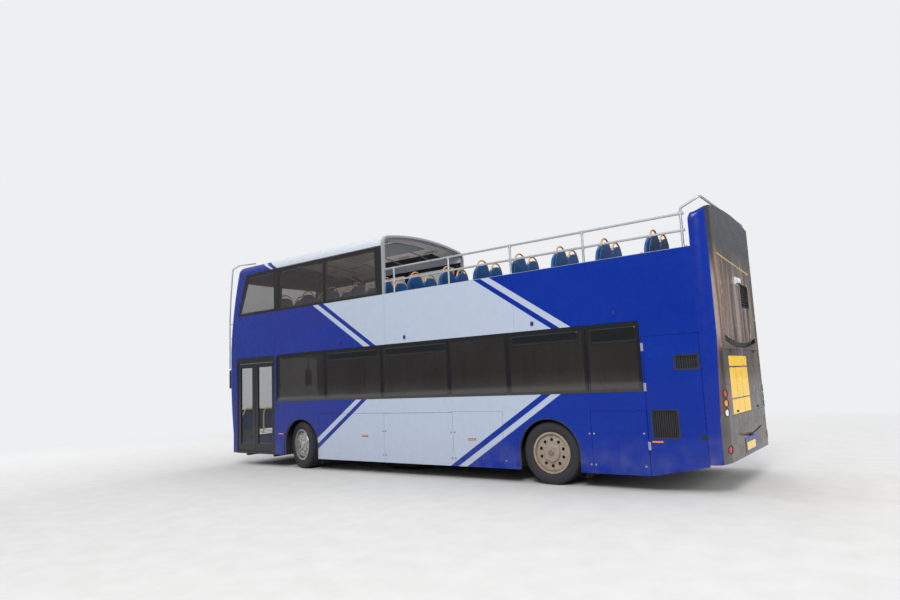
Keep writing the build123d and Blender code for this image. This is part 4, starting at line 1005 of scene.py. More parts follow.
class Form:
    """One mesh that grows from bevelled blocks, plates, bars and turned rings."""

    def __init__(self) -> None:
        """Starts an empty mesh."""
        self.mesh = bmesh.new()

    def soften(self, verts: list[bmesh.types.BMVert], bevel: float, segments: int) -> "Form":
        """Rounds the edges between some vertices.

        Args:
            verts: The vertices of the new shape.
            bevel: The width of the rounding, or 0 for none.
            segments: How many faces each rounding has.

        Returns:
            This form.
        """
        if bevel > 0.0:
            edges = list({edge for vert in verts for edge in vert.link_edges})
            bmesh.ops.bevel(
                self.mesh, geom=edges, offset=bevel, segments=segments,
                profile=0.5, affect="EDGES", material=-1, clamp_overlap=True,
            )
        return self

    def block(
        self, low: Point, high: Point, bevel: float = 0.003, segments: int = 2, at: Point = ORIGIN
    ) -> "Form":
        """Adds a block with rounded edges.

        Args:
            low: Its lowest corner.
            high: Its highest corner.
            bevel: The width of the rounding.
            segments: How many faces each rounding has.
            at: The point that the corners are measured from.

        Returns:
            This form.
        """
        made = bmesh.ops.create_cube(self.mesh, size=1.0)["verts"]
        low, high = Vector(low), Vector(high)
        place = Matrix.Translation((low + high) / 2 + Vector(at)) @ Matrix.Diagonal((*(high - low), 1.0))
        bmesh.ops.transform(self.mesh, matrix=place, verts=made)
        return self.soften(made, bevel, segments)

    def thicken(self, faces: list[bmesh.types.BMFace], along: Point) -> list[bmesh.types.BMVert]:
        """Carries some faces along a direction to make them a closed shape.

        Args:
            faces: The faces.
            along: The way and distance that they are carried.

        Returns:
            The carried vertices.
        """
        grown = bmesh.ops.extrude_face_region(self.mesh, geom=faces)["geom"]
        moved = [part for part in grown if isinstance(part, bmesh.types.BMVert)]
        bmesh.ops.translate(self.mesh, vec=along, verts=moved)
        return moved

    def plate(self, outline: Sequence[Point], along: Point, bevel: float, segments: int = 2) -> "Form":
        """Adds a flat outline, carried along a direction.

        Args:
            outline: The points of a flat face.
            along: The way and distance that it is carried.
            bevel: The width of the rounding.
            segments: How many faces each rounding has.

        Returns:
            This form.
        """
        verts = [self.mesh.verts.new(point) for point in outline]
        moved = self.thicken([self.mesh.faces.new(verts)], along)
        return self.soften(verts + moved, bevel, segments)

    def sheet(self, rows: Sequence[Sequence[Point]], along: Point) -> "Form":
        """Adds a net of faces, carried along a direction.

        Args:
            rows: The net's points, row by row.
            along: The way and distance that it is carried.

        Returns:
            This form.
        """
        grid = [[self.mesh.verts.new(point) for point in row] for row in rows]
        faces = []
        for low, high in zip(grid, grid[1:]):
            for k in range(len(low) - 1):
                faces.append(self.mesh.faces.new((low[k], low[k + 1], high[k + 1], high[k])))
        self.thicken(faces, along)
        return self

    def bar(self, path: Sequence[Point], radius: float, sides: int = 8, closed: bool = False) -> "Form":
        """Adds a round bar along a path.

        Args:
            path: The points of its middle line.
            radius: The bar's radius.
            sides: How many faces go round it.
            closed: Whether the ends meet.

        Returns:
            This form.
        """
        points = [Vector(point) for point in path]
        last = len(points) - 1
        rings = []
        side = None
        for i, point in enumerate(points):
            if closed:
                ahead = (points[(i + 1) % len(points)] - points[i - 1]).normalized()
            else:
                ahead = (points[min(i + 1, last)] - points[max(i - 1, 0)]).normalized()
            side = side or ahead.orthogonal()
            side = (side - ahead * side.dot(ahead)).normalized()
            other = ahead.cross(side)
            ring = []
            for k in range(sides):
                angle = 2 * math.pi * k / sides
                offset = side * math.cos(angle) + other * math.sin(angle)
                ring.append(self.mesh.verts.new(point + offset * radius))
            rings.append(ring)
        for first, second in zip(rings, rings[1:] + rings[:1] * closed):
            for k in range(sides):
                n = (k + 1) % sides
                self.mesh.faces.new((first[k], first[n], second[n], second[k]))
        if not closed:
            self.mesh.faces.new(rings[0][::-1])
            self.mesh.faces.new(rings[-1])
        return self

    def turned(
        self,
        profile: Sequence[tuple[float, float]],
        centre: Point = ORIGIN,
        axis: Point = ACROSS,
        steps: int = 20,
    ) -> "Form":
        """Adds a profile of radius and height, turned about an axis.

        Args:
            profile: Pairs of radius and distance along the axis.
            centre: A point on the axis.
            axis: The axis.
            steps: How many faces go round.

        Returns:
            This form.
        """
        line = Vector(axis).normalized()
        out = line.orthogonal().normalized()
        middle = Vector(centre)
        verts = [self.mesh.verts.new(middle + out * r + line * h) for r, h in profile]
        edges = [self.mesh.edges.new(pair) for pair in zip(verts, verts[1:])]
        bmesh.ops.spin(
            self.mesh, geom=verts + edges, cent=middle, axis=line,
            angle=2 * math.pi, steps=steps, use_merge=True,
        )
        poles = [v for v in self.mesh.verts if (v.co - middle).cross(line).length < 1e-6]
        if poles:
            bmesh.ops.remove_doubles(self.mesh, verts=poles, dist=1e-5)
        return self

    def stamp(self, other: "Form", *places: Matrix) -> "Form":
        """Adds copies of another form.

        Args:
            other: The form to copy.
            places: The place of each copy; one copy stays where it is if there are none.

        Returns:
            This form.
        """
        pattern = bpy.data.meshes.new("pattern")
        other.mesh.to_mesh(pattern)
        for place in places or (Matrix(),):
            placed = pattern.copy()
            placed.transform(place)
            self.mesh.from_mesh(placed)
            bpy.data.meshes.remove(placed)
        bpy.data.meshes.remove(pattern)
        return self

    def mirrored(self) -> "Form":
        """Adds the same shapes on the other side of the bus."""
        return self.stamp(Form().stamp(self), Matrix.Diagonal((1.0, -1.0, 1.0, 1.0)))

    def piece(self, name: str, finish: Finish, body: str = ROOT, angle: float = 35.0) -> bpy.types.Object:
        """Turns the form into an object that rides on a body.

        Args:
            name: The object's name.
            finish: Its finish.
            body: The body that carries it.
            angle: The sharpest turn that is shaded smooth, in degrees.

        Returns:
            The new object.
        """
        bmesh.ops.recalc_face_normals(self.mesh, faces=self.mesh.faces)
        made = finished(name, self.mesh, finish.material())
        smooth(made, angle)
        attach(made, body)
        finish.slot
        log.info("%s rides on %s", name, body)
        return made


def rounded(points: Sequence[Point], radius: float, steps: int = 5) -> list[Vector]:
    """A path with its corners rounded.

    Args:
        points: The path's corners.
        radius: How far from a corner its rounding starts.
        steps: How many points each rounding has.

    Returns:
        The rounded path.
    """
    corners = [Vector(point) for point in points]
    path = [corners[0]]
    for before, corner, after in zip(corners, corners[1:], corners[2:]):
        reach = min(radius, (before - corner).length * 0.49, (after - corner).length * 0.49)
        start = corner + (before - corner).normalized() * reach
        end = corner + (after - corner).normalized() * reach
        for i in range(steps + 1):
            t = i / steps
            path.append((1 - t) ** 2 * start + 2 * t * (1 - t) * corner + t * t * end)
    path.append(corners[-1])
    return path


def both(*magnitudes: float) -> list[float]:
    """Each number on the offside first and then on the nearside."""
    return [side * value for side in SIDES for value in magnitudes]


def disc(radius: float, low: float, high: float) -> list[tuple[float, float]]:
    """The profile of a plain disc between two places on its axis."""
    return [(0, high), (radius, high), (radius, low), (0, low)]


@dataclass(frozen=True)
class WheelSite:
    """Where a wheel is, and the body that carries it."""

    side: str
    tyre_node: str
    x: float
    y: float
    turn: float
    twin: bool

    @property
    def body(self) -> str:
        """The body that the wheel belongs to."""
        return "wheel_" + self.side

    def matrix(self) -> Matrix:
        """The matrix from the wheel's own frame, with +Y outwards."""
        move = Matrix.Translation((self.x, self.y, TYRE_R))
        return move @ Matrix.Rotation(math.radians(self.turn), 4, "Z")


WHEELS = (
    WheelSite("front_left", "front_tyre_left", 2.7752, 1.0842, -15.0, False),
    WheelSite("front_right", "front_tyre_right", 2.7248, -1.0842, 165.0, False),
    WheelSite("rear_left", "rear_tyres_left", -2.770, 1.0875, 0.0, True),
    WheelSite("rear_right", "rear_tyres_right", -2.770, -1.0875, 180.0, True),
)


@dataclass(frozen=True)
class WheelKit:
    """The fittings of one kind of wheel, as pairs of radius and place on its axis."""

    finish: Finish
    nut_ring: float
    nut_count: int
    nut_shift: float
    nut_y: float
    nut_size: tuple[float, float]
    valve_y: float
    cap: tuple[tuple[float, float], ...]
    cap_pin: tuple[tuple[float, float], ...]
    lip: tuple[tuple[float, float], ...]


FRONT_KIT = WheelKit(
    Finish.RIM_FRONT, 0.1675, 10, 0.0, 0.131, (0.0150, 0.030), 0.070,
    ((0, 0.170), (0.060, 0.170), (0.066, 0.176), (0.060, 0.186), (0.030, 0.191), (0, 0.192)),
    ((0.012, 0.1915), (0, 0.1945)),
    ((0.3035, 0.119), (0.3060, 0.1215), (0.3045, 0.1240), (0.3000, 0.1215), (0.3035, 0.119)),
)
TWIN_KIT = WheelKit(
    Finish.RIM, 0.068, 8, 0.5, 0.1265, (0.0065, 0.010), 0.083,
    ((0, 0.126), (0.044, 0.126), (0.047, 0.131), (0.040, 0.137), (0, 0.138)),
    ((0.012, 0.137), (0, 0.140)),
    ((0.2535, 0.090), (0.2590, 0.0925), (0.2640, 0.0880), (0.2600, 0.0850), (0.2535, 0.090)),
)


@dataclass
class WheelShop:
    """Tyres with their tread, and the fittings of the wheels."""

    half: float = 0.1375
    twin_gap: float = 0.325
    steps: int = 90
    valve_reach: float = 0.262

    def build(self) -> None:
        """Puts the tyres and then the fittings on the wheels."""
        self.tyres()
        for site in WHEELS:
            self.fittings(site, TWIN_KIT if site.twin else FRONT_KIT)

    def tyre(self) -> Form:
        """One tyre about Y: ribs and grooves, shoulder blocks, and rings on the walls.

        Returns:
            The tyre's form.
        """
        h, r = self.half, TYRE_R
        wall = [
            (0.2905, -0.105), (0.305, -0.105), (0.3115, -0.113), (0.316, -0.1195), (0.322, -0.1215),
            (0.335, -0.1285), (0.338, -0.1305), (0.342, -0.1303), (0.345, -0.1315), (0.360, -0.1358),
            (0.378, -h), (0.381, -h - 0.0012), (0.385, -h - 0.0012), (0.388, -h), (0.402, -0.1364),
            (0.418, -0.1335), (0.434, -0.1268), (0.441, -0.1240), (0.450, -0.1175), (0.4560, -0.1060),
        ]
        tread = [(r - 0.0060, -0.1000), (r - 0.0045, -0.0720)]
        for middle in (-0.060, -0.020, 0.020, 0.060):
            tread += [
                (r - 0.0005, middle - 0.0060), (r - 0.0110, middle - 0.0045),
                (r - 0.0110, middle + 0.0045), (r - 0.0005, middle + 0.0060),
            ]
        tread += [(r - 0.0045, 0.0720), (r - 0.0060, 0.1000)]
        profile = wall + tread + [(radius, -y) for radius, y in reversed(wall)]
        profile += [(0.300, 0.095), (0.300, -0.095), wall[0]]
        form = Form().turned(profile, steps=self.steps)
        bmesh.ops.remove_doubles(form.mesh, verts=form.mesh.verts, dist=1e-5)
        bmesh.ops.recalc_face_normals(form.mesh, faces=form.mesh.faces)
        for near, far, top, inset, raised in (
            (0.074, 0.100, 0.44, 0.0026, 0.0040), (0.030, 0.050, r - 0.004, 0.0016, -0.0022)
        ):
            faces = []
            for face in form.mesh.faces:
                middle = face.calc_center_median()
                if near < abs(middle.y) < far and middle.xz.length > top:
                    faces.append(face)
            bmesh.ops.inset_individual(form.mesh, faces=faces, thickness=inset, depth=raised)
        return form

    def tyres(self) -> None:
        """Puts the tyres on their wheels."""
        pattern = self.tyre()
        for site in WHEELS:
            places = [site.matrix()]
            if site.twin:
                places.append(site.matrix() @ Matrix.Translation((0, -self.twin_gap, 0)))
            form = Form().stamp(pattern, *places)
            made = form.piece("tyre_tread_" + site.side, Finish.TYRE, site.body, 40.0)
            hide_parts(site.tyre_node)

    def nut(self, radius: float, height: float) -> Form:
        """A wheel nut with its washer about Y.

        Args:
            radius: Half its width.
            height: Its height.

        Returns:
            The nut's form.
        """
        washer = [(0, 0), (radius * 1.35, 0), (radius * 1.3, 0.003), (0, 0.003)]
        body = [(0, 0.003), (radius, 0.003), (radius, height - 0.003), (radius * 0.8, height), (0, height)]
        return Form().turned(washer, steps=16).turned(body, steps=6)

    def fittings(self, site: WheelSite, kit: WheelKit) -> None:
        """Adds a wheel's nuts with the rim's lip, its hub cap and its valve.

        Args:
            site: The wheel.
            kit: Its fittings.
        """
        spots = []
        for i in range(kit.nut_count):
            angle = 2 * math.pi * (i + kit.nut_shift) / kit.nut_count
            spot = (kit.nut_ring * math.cos(angle), kit.nut_y, kit.nut_ring * math.sin(angle))
            spots.append(Matrix.Translation(spot))
        nuts = Form().stamp(self.nut(*kit.nut_size), *spots).turned(kit.lip, steps=72)
        hub = Form().turned(kit.cap, steps=40).turned(kit.cap_pin, steps=12)
        y, reach = kit.valve_y, self.valve_reach
        path = rounded([(0, y - 0.03, reach), (0, y + 0.012, reach), (0, y + 0.032, reach - 0.022)], 0.012)
        stem = Form().bar(path, 0.0045)
        for name, form, finish in (
            ("wheel_nuts_", nuts, kit.finish), ("hub_cap_", hub, Finish.HUB),
            ("tyre_valve_", stem, Finish.RUBBER),
        ):
            Form().stamp(form, site.matrix()).piece(name + site.side, finish, site.body)


@dataclass(frozen=True)
class PadShape:
    """The size of a seat pad and how it is sewn."""

    name: str
    length: float
    width: float
    thick: float
    round_end: float
    swell: float
    channels: tuple[float, ...]


@dataclass
class PadMould:
    """Swells seat pads with a cloth simulation."""

    cuts: int = 12
    frames: int = 20
    channel_width: float = 0.045
    channel_depth: float = 0.006

    @staticmethod
    def uprights(mesh: bmesh.types.BMesh) -> list[bmesh.types.BMEdge]:
        """The edges that run from the lower side to the upper side."""
        return [e for e in mesh.edges if abs(e.verts[0].co.z - e.verts[1].co.z) > 1.0]

    def form(self, shape: PadShape) -> bmesh.types.BMesh:
        """The flat closed form that a pad starts from.

        Args:
            shape: The pad's sizes.

        Returns:
            The form, with the pad's length along X and its upper side along +Z.
        """
        mesh = bmesh.new()
        bmesh.ops.create_cube(mesh, size=2.0)
        upright = self.uprights(mesh)
        flat = [e for e in mesh.edges if e not in upright]
        bmesh.ops.subdivide_edges(mesh, edges=flat, cuts=self.cuts, use_grid_fill=True)
        bmesh.ops.subdivide_edges(mesh, edges=self.uprights(mesh), cuts=2, use_grid_fill=True)
        for vert in mesh.verts:
            u, v, w = vert.co
            end = max(0.0, (-u - 0.35) / 0.65) * shape.round_end
            across = v * math.sqrt(1 - 0.22 * u * u) * math.sqrt(max(0.05, 1 - 0.62 * end * end))
            along = u * math.sqrt(1 - 0.20 * v * v) * (1 - 0.10 * end * v * v)
            waist = 1 - 0.018 * (1 - u * u)
            crown = 0.62 + 0.38 * (1 - u ** 6) * (1 - v ** 6)
            vert.co.x = along * shape.length / 2
            vert.co.y = across * waist * shape.width / 2
            vert.co.z = w * shape.thick / 2 * crown
        return mesh

    def swollen(self, shape: PadShape) -> Form:
        """The pad after its cloth has been blown up, with its seams sewn in.

        Args:
            shape: The pad's sizes.

        Returns:
            The finished pad.
        """
        data = bpy.data.meshes.new(shape.name)
        start = self.form(shape)
        start.to_mesh(data)
        start.free()
        self.blow(data, shape)
        grown = Form()
        grown.mesh.from_mesh(data)
        bpy.data.meshes.remove(data)
        bmesh.ops.subdivide_edges(
            grown.mesh, edges=grown.mesh.edges[:], cuts=1, use_grid_fill=True, smooth=0.6,
        )
        for vert in grown.mesh.verts:
            if vert.co.z > 0:
                across = vert.co.y / (shape.width / 2)
                dip = sum(math.exp(-((across - line) / self.channel_width) ** 2) for line in shape.channels)
                vert.co.z -= dip * self.channel_depth
        return grown

    def blow(self, data: bpy.types.Mesh, shape: PadShape) -> None:
        """Runs the cloth and keeps a capped share of its movement.

        Args:
            data: The pad's mesh, which takes the result.
            shape: The pad's sizes.
        """
        rest = [vert.co.copy() for vert in data.vertices]
        scene = bpy.context.scene
        body = bpy.data.objects.new(shape.name, data)
        scene.collection.objects.link(body)
        cloth = body.modifiers.new("swell", "CLOTH")
        for name, value in (
            ("quality", 5), ("mass", 0.25), ("tension_stiffness", 18), ("compression_stiffness", 8),
            ("shear_stiffness", 6), ("bending_stiffness", 0.4), ("use_pressure", True),
            ("uniform_pressure_force", 4.0),
        ):
            setattr(cloth.settings, name, value)
        cloth.settings.effector_weights.gravity = 0.0
        cloth.collision_settings.use_collision = False
        for frame in range(1, self.frames + 1):
            scene.frame_set(frame)
        grown = body.evaluated_get(bpy.context.evaluated_depsgraph_get()).to_mesh()
        moved = [vert.co.copy() for vert in grown.vertices]
        bpy.data.objects.remove(body)
        scene.frame_set(1)
        for vert, before, after in zip(data.vertices, rest, moved):
            step = after - before
            if step.length > shape.swell:
                step = step.normalized() * shape.swell
            vert.co = before + step


@dataclass(frozen=True)
class SeatPlace:
    """A double seat: its back's foot, its middle, and its floor, cushion and top heights."""

    x: float
    y: float
    floor: float
    cushion: float
    top: float
    low: bool = False

    @property
    def lean(self) -> float:
        """How far the back leans, in radians."""
        return math.atan2(SeatShop.back_lean, self.top - self.cushion)


@dataclass
class SeatShop:
    """The seats of both decks and of the cab."""

    pitch: float = 0.727
    side_y: float = 0.770
    half_width: float = 0.425
    back_lean: float = 0.090
    stair_gap: tuple[float, float] = (0.130, 1.980)
    cushion_pad: PadShape = PadShape("cushion_pad", 0.395, 0.392, 0.070, 0.0, 0.012, (-0.52, 0.52))
    back_pad: PadShape = PadShape("back_pad", 0.610, 0.372, 0.046, 1.0, 0.010, (-0.50, 0.50))
    low_back_pad: PadShape = PadShape("low_back_pad", 0.540, 0.372, 0.046, 1.0, 0.010, (-0.50, 0.50))

    def upper_places(self) -> list[SeatPlace]:
        """The double seats of the upper deck, with a gap over the staircase.

        Returns:
            Their places.
        """
        places = []
        for i in range(12):
            x = -4.380 + self.pitch * i
            for y in (self.side_y, -self.side_y):
                if y > 0 or not self.stair_gap[0] < x < self.stair_gap[1]:
                    places.append(SeatPlace(x, y, UPPER_FLOOR_Z, 2.880, 3.530))
        return places

    def lower_places(self) -> list[SeatPlace]:
        """The double seats of the lower deck, the last ones on the rear platform.

        Returns:
            Their places.
        """
        places = []
        for i in range(5):
            for y in (self.side_y, -self.side_y):
                if y > 0 or i > 0:
                    places.append(SeatPlace(1.250 - self.pitch * i, y, 0.300, 0.750, 1.400))
        for x in (-2.620, -3.350, -4.080):
            for y in (self.side_y, -self.side_y):
                places.append(SeatPlace(x, y, 0.620, 1.122, 1.722, True))
        return places

    def pad_matrices(self, place: SeatPlace, shape: PadShape, back: bool) -> list[Matrix]:
        """The places of a seat's two pads of one kind.

        Args:
            place: The seat.
            shape: The pad's sizes.
            back: Whether it is the pad of the back.

        Returns:
            One place for each pad.
        """
        if back:
            z = place.top - 0.012 - shape.length / 2
            x = place.x + 0.029 - self.back_lean * (z - place.cushion) / (place.top - place.cushion)
            turn = math.radians(90) - place.lean
        else:
            x, z, turn = place.x + 0.060 + shape.length / 2, place.cushion - 0.028, math.radians(-2.5)
        return [
            Matrix.Translation((x, place.y + side * self.half_width / 2, z)) @ Matrix.Rotation(turn, 4, "Y")
            for side in SIDES
        ]

    def shell(self, place: SeatPlace) -> Form:
        """The two moulded shells of a double seat.

        Args:
            place: The seat.

        Returns:
            The form.
        """
        form = Form()
        half = 0.196
        shoulder = place.top - place.cushion - 0.14
        outline = [(-half, 0.0), (-half, shoulder)]
        for i in range(1, 12):
            angle = math.pi - math.pi * i / 12
            outline.append((half * math.cos(angle), shoulder + 0.19 * math.sin(angle)))
        outline += [(half, shoulder), (half, 0.0)]
        up = Vector((-math.sin(place.lean), 0.0, math.cos(place.lean)))
        for side in SIDES:
            y = place.y + side * self.half_width / 2
            foot = Vector((place.x - 0.018, y, place.cushion - 0.07))
            form.plate([foot + Vector((0, u, 0)) + up * v for u, v in outline], (-0.022, 0.0, -0.003), 0.006)
            form.block((0.020, -0.198, -0.088), (0.448, 0.198, -0.052), 0.012, 3, (place.x, y, place.cushion))
        return form

    def frame(self, place: SeatPlace) -> Form:
        """The pedestal, the bearers and the bolts under a double seat.

        Args:
            place: The seat.

        Returns:
            The form.
        """
        form = Form()
        x, y, floor = place.x, place.y, place.floor
        height = place.cushion - floor
        if place.low:
            inner = y - math.copysign(0.340, y)
            return form.block((0.07, -0.05, 0.0), (0.32, 0.05, height - 0.09), at=(x, inner, floor))
        form.block((0.13, -0.035, 0.01), (0.26, 0.035, height - 0.10), 0.008, at=(x, y, floor))
        form.block((0.065, -0.058, 0.001), (0.325, 0.058, 0.012), at=(x, y, floor))
        for dx in (0.07, 0.30):
            ends = [(x + dx, y + dy, place.cushion - 0.098) for dy in (-0.39, 0.39)]
            form.bar(ends, 0.014, 10)
        for dy in (0.045, -0.045):
            for dx in (0.08, 0.31):
                form.turned(disc(0.008, 0.0, 0.006), (x + dx, y + dy, floor + 0.012), UP, 6)
        return form

    def build(self) -> None:
        """Puts the seats on both decks and in the cab."""
        mould = PadMould()
        cushion = mould.swollen(self.cushion_pad)
        back = mould.swollen(self.back_pad)
        low_back = mould.swollen(self.low_back_pad)
        decks = (("upper", "upper_seats", self.upper_places()), ("lower", "lower_seats", self.lower_places()))
        for deck, node, places in decks:
            for side, sign in (("nearside", 1), ("offside", -1)):
                seats, backs, shells, frames = Form(), Form(), Form(), Form()
                row = [place for place in places if place.y * sign > 0]
                for place in row:
                    seats.stamp(cushion, *self.pad_matrices(place, self.cushion_pad, False))
                    shape, pad = (self.low_back_pad, low_back) if place.low else (self.back_pad, back)
                    backs.stamp(pad, *self.pad_matrices(place, shape, True))
                    shells.stamp(self.shell(place))
                    frames.stamp(self.frame(place))
                made = [
                    seats.piece(f"{deck}_cushions_{side}", Finish.SEAT, angle=60.0),
                    backs.piece(f"{deck}_backs_{side}", Finish.SEAT, angle=60.0),
                    shells.piece(f"{deck}_seat_shells_{side}", Finish.SEAT_SHELL),
                    frames.piece(f"{deck}_seat_frames_{side}", Finish.IRON),
                ]
                for part in made:
                    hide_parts(node)
        self.driver(cushion, back)

    def driver(self, cushion: Form, back: Form) -> None:
        """The driver's seat.

        Args:
            cushion: The pad for its cushion.
            back: The pad for its back.
        """
        y = -0.770
        seat = Matrix.Translation((3.955, y, 0.690)) @ Matrix.Diagonal((0.98, 1.16, 1.1, 1.0))
        turn = Matrix.Rotation(math.radians(90) - math.atan2(0.10, 0.58), 4, "Y")
        rest = Matrix.Translation((3.748, y, 1.035)) @ turn @ Matrix.Diagonal((0.99, 1.16, 1.1, 1.0))
        cushions = Form().stamp(cushion, seat).piece("driver_cushion", Finish.SEAT_GREY, angle=60.0)
        backs = Form().stamp(back, rest).piece("driver_back", Finish.SEAT_GREY, angle=60.0)
        base = Form().block((3.76, y - 0.13, 0.302), (4.07, y + 0.13, 0.50), 0.02, 3)
        base.block((3.74, y - 0.20, 0.62), (4.14, y + 0.20, 0.655), 0.01)
        for z in (0.52, 0.55, 0.58, 0.61):
            base.block((3.79, y - 0.12, z - 0.012), (4.04, y + 0.12, z + 0.012), 0.009)
        stand = base.piece("driver_seat_base", Finish.PLASTIC)
        for part in (cushions, backs, stand):
            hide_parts("driver_seat")


@dataclass
class SideTrim:
    """What is fixed to the two long sides."""

    hinge_heights: tuple[float, ...] = (1.924, 1.384, 0.603)
    locker_runs: tuple[tuple[float, float], ...] = ((-1.040, 0.498), (0.507, 2.240))
    locker_ribs: int = 4
    grilles: tuple[tuple[float, float, float, float], ...] = (
        (-4.690, -4.347, 0.707, 1.069), (-5.012, -4.713, 1.604, 1.782)
    )
    grille_rim: float = 0.012
    arch_r: float = 0.500
    arch_feet_z: tuple[float, float] = (0.262, 0.215)
    mudflap_places: tuple[tuple[float, float], ...] = ((2.222, 0.965), (-3.302, 0.93))

    def build(self) -> None:
        """Adds the trim of the skirt, the engine side door, the arches and the upper edge."""
        self.catches()
        self.markers()
        self.hinges()
        self.locker_liners()
        self.louvre_frames()
        self.handle()
        self.arch_lips()
        self.cappings()
        self.mudflaps()

    def catches(self) -> None:
        """The square quarter-turn catches beside the seams of the skirt panels."""
        ring = [(0.0035, 0.0028), (0.0065, 0.0028), (0.0065, 0.0042), (0.0035, 0.0042), (0.0035, 0.0028)]
        rows = (
            ("flap_front", "flap_front", Finish.IRON, ((0.532, 0.752), (0.532, 0.338))),
            ("flap_middle", "flap_middle", Finish.IRON,
             ((0.470, 0.752), (0.470, 0.338), (-0.982, 0.748), (-0.982, 0.334))),
            ("flap_rear", "flap_rear", Finish.STEEL,
             ((-3.498, 0.757), (-3.498, 0.330), (-4.218, 0.765), (-4.216, 0.332))),
            ("pale_panel", ROOT, Finish.IRON, ((-1.055, 0.748), (-1.055, 0.334))),
            ("blue_panel", ROOT, Finish.STEEL, ((-3.430, 0.757), (-3.430, 0.330), (-2.020, 0.329))),
        )
        for name, body, finish, spots in rows:
            form = Form()
            for x, z in spots:
                spot = (x, HALF_WIDTH, z)
                form.block((-0.011, -0.001, -0.011), (0.011, 0.0028, 0.011), 0.0016, at=spot)
                form.turned(ring, spot, steps=16)
            form.piece("catches_" + name, finish, body)

    def markers(self) -> None:
        """Orange side markers on their black pads, and the small caps over the windows."""
        rows = (
            ("flap_front", 0.985, 0.665), (ROOT, -1.393, 0.643),
            ("engine_side", -4.400, 0.6585), (ROOT, 3.351, 0.673),
        )
        for i, (body, x, z) in enumerate(rows):
            spot = (x, HALF_WIDTH, z)
            pad = Form().block((-0.080, -0.001, -0.0155), (0.080, 0.0035, 0.0155), at=spot)
            pad.piece(f"marker_pad_{i}", Finish.PLASTIC, body)
            lens = Form().block((-0.074, 0.0028, -0.0115), (0.074, 0.0115, 0.0115), 0.0045, 3, spot)
            lens.piece(f"marker_lens_{i}", Finish.LENS_AMBER, body)
        caps = Form()
        for x, z in ((1.579, 2.400), (-0.045, 2.389), (-2.612, 2.395), (-3.923, 2.427)):
            caps.block((-0.026, -0.001, -0.034), (0.026, 0.014, 0.030), 0.008, 3, (x, HALF_WIDTH, z))
        caps.mirrored().piece("side_vent_caps", Finish.BLUE_PLASTIC)

    def hinges(self) -> None:
        """Butt hinges down the front edge of the engine side door, pinned on its own axis."""
        moving, fixed = Form(), Form()
        for z in self.hinge_heights:
            spot = (ENGINE_DOOR_AXIS_X, HALF_WIDTH, z)
            moving.block((-0.0175, -0.001, -0.055), (-0.003, 0.003, 0.055), 0.001, at=spot)
            moving.bar([Vector(spot) + Vector((0, 0, dz)) for dz in (-0.054, 0.054)], 0.0022, 10)
            fixed.block((0.005, -0.001, -0.055), (0.0165, 0.003, 0.055), 0.001, at=spot)
        fixed.piece("engine_door_fixed_leaves", Finish.STEEL)
        moving.piece("engine_door_hinges", Finish.STEEL, "engine_side")

    def locker_liners(self) -> None:
        """Ribbed inner walls that close the saloon off behind the skirt flaps."""
        form = Form()
        for x0, x1 in self.locker_runs:
            form.block((x0, 1.221, 0.302), (x1, 1.233, 1.130), 0.002)
            for i in range(self.locker_ribs):
                x = x0 + (x1 - x0) * (i + 0.5) / self.locker_ribs
                form.block((x - 0.030, 1.230, 0.330), (x + 0.030, 1.240, 1.040), 0.004)
        form.piece("locker_liners", Finish.TRIM)

    def louvre_frames(self) -> None:
        """Slim frames and dark meshes for the two grilles of the engine side door."""
        form = Form()
        rim = self.grille_rim
        for x0, x1, z0, z1 in self.grilles:
            for low_x, high_x, low_z, high_z in (
                (x0 - rim, x1 + rim, z0 - rim, z0), (x0 - rim, x1 + rim, z1, z1 + rim),
                (x0 - rim, x0, z0, z1), (x1, x1 + rim, z0, z1),
            ):
                form.block((low_x, -0.001, low_z), (high_x, 0.003, high_z), 0.001, at=NEARSIDE)
        form.piece("side_grille_frames", Finish.PLASTIC, "engine_side")
        back = Form().block((-4.692, -0.0365, 0.700), (-4.345, -0.0345, 1.075), 0.0005, 1, NEARSIDE)
        back.block((-5.014, -0.0365, 1.598), (-4.711, -0.0345, 1.788), 0.0005, 1, NEARSIDE)
        back.piece("side_grille_mesh", Finish.MESH, "engine_side")

    def handle(self) -> None:
        """The sunk paddle of the engine side door."""
        y = HALF_WIDTH
        corners = [(-5.045, y, 0.720), (-5.045, y, 0.744), (-4.953, y, 0.744), (-4.953, y, 0.696),
                   (-5.045, y, 0.696), (-5.045, y, 0.720)]
        rim = Form().bar(rounded(corners, 0.020, 4)[:-1], 0.0035, closed=True)
        rim.piece("engine_door_handle_rim", Finish.PLASTIC, "engine_side")
        paddle = Form().block((-5.040, -0.002, 0.701), (-4.958, 0.002, 0.739), 0.0015, at=NEARSIDE)
        paddle.block((-5.028, 0.001, 0.708), (-4.975, 0.005, 0.726), 0.002, at=NEARSIDE)
        paddle.piece("engine_door_paddle", Finish.BLACK, "engine_side")

    def arch_lips(self) -> None:
        """Black rubber lips round the wheel arches."""
        form = Form()
        y, r, steps = HALF_WIDTH - 0.003, self.arch_r, 48
        for x, low in zip(AXLES_X, self.arch_feet_z):
            angles = [math.pi * i / steps for i in range(steps + 1)]
            arc = [(x + r * math.cos(a), y, TYRE_R + r * math.sin(a)) for a in angles]
            form.bar([(x + r, y, low), *arc, (x - r, y, low)], 0.0085)
        form.mirrored().piece("wheel_arch_lips", Finish.RUBBER)

    def cappings(self) -> None:
        """Alloy cappings on the open deck's side walls and rain rails on the canopy."""
        edge = (0, HALF_WIDTH, COAMING_Z)
        form = Form().block((-5.030, -0.047, -0.002), (0.386, -0.002, 0.008), 0.004, 3, edge)
        form.mirrored().piece("coaming_cappings", Finish.ALLOY)
        y, z = HALF_WIDTH + 0.001, 4.118
        Form().bar([(0.46, y, z), (4.20, y, z)], 0.006).mirrored().piece("rain_rails", Finish.PLASTIC)

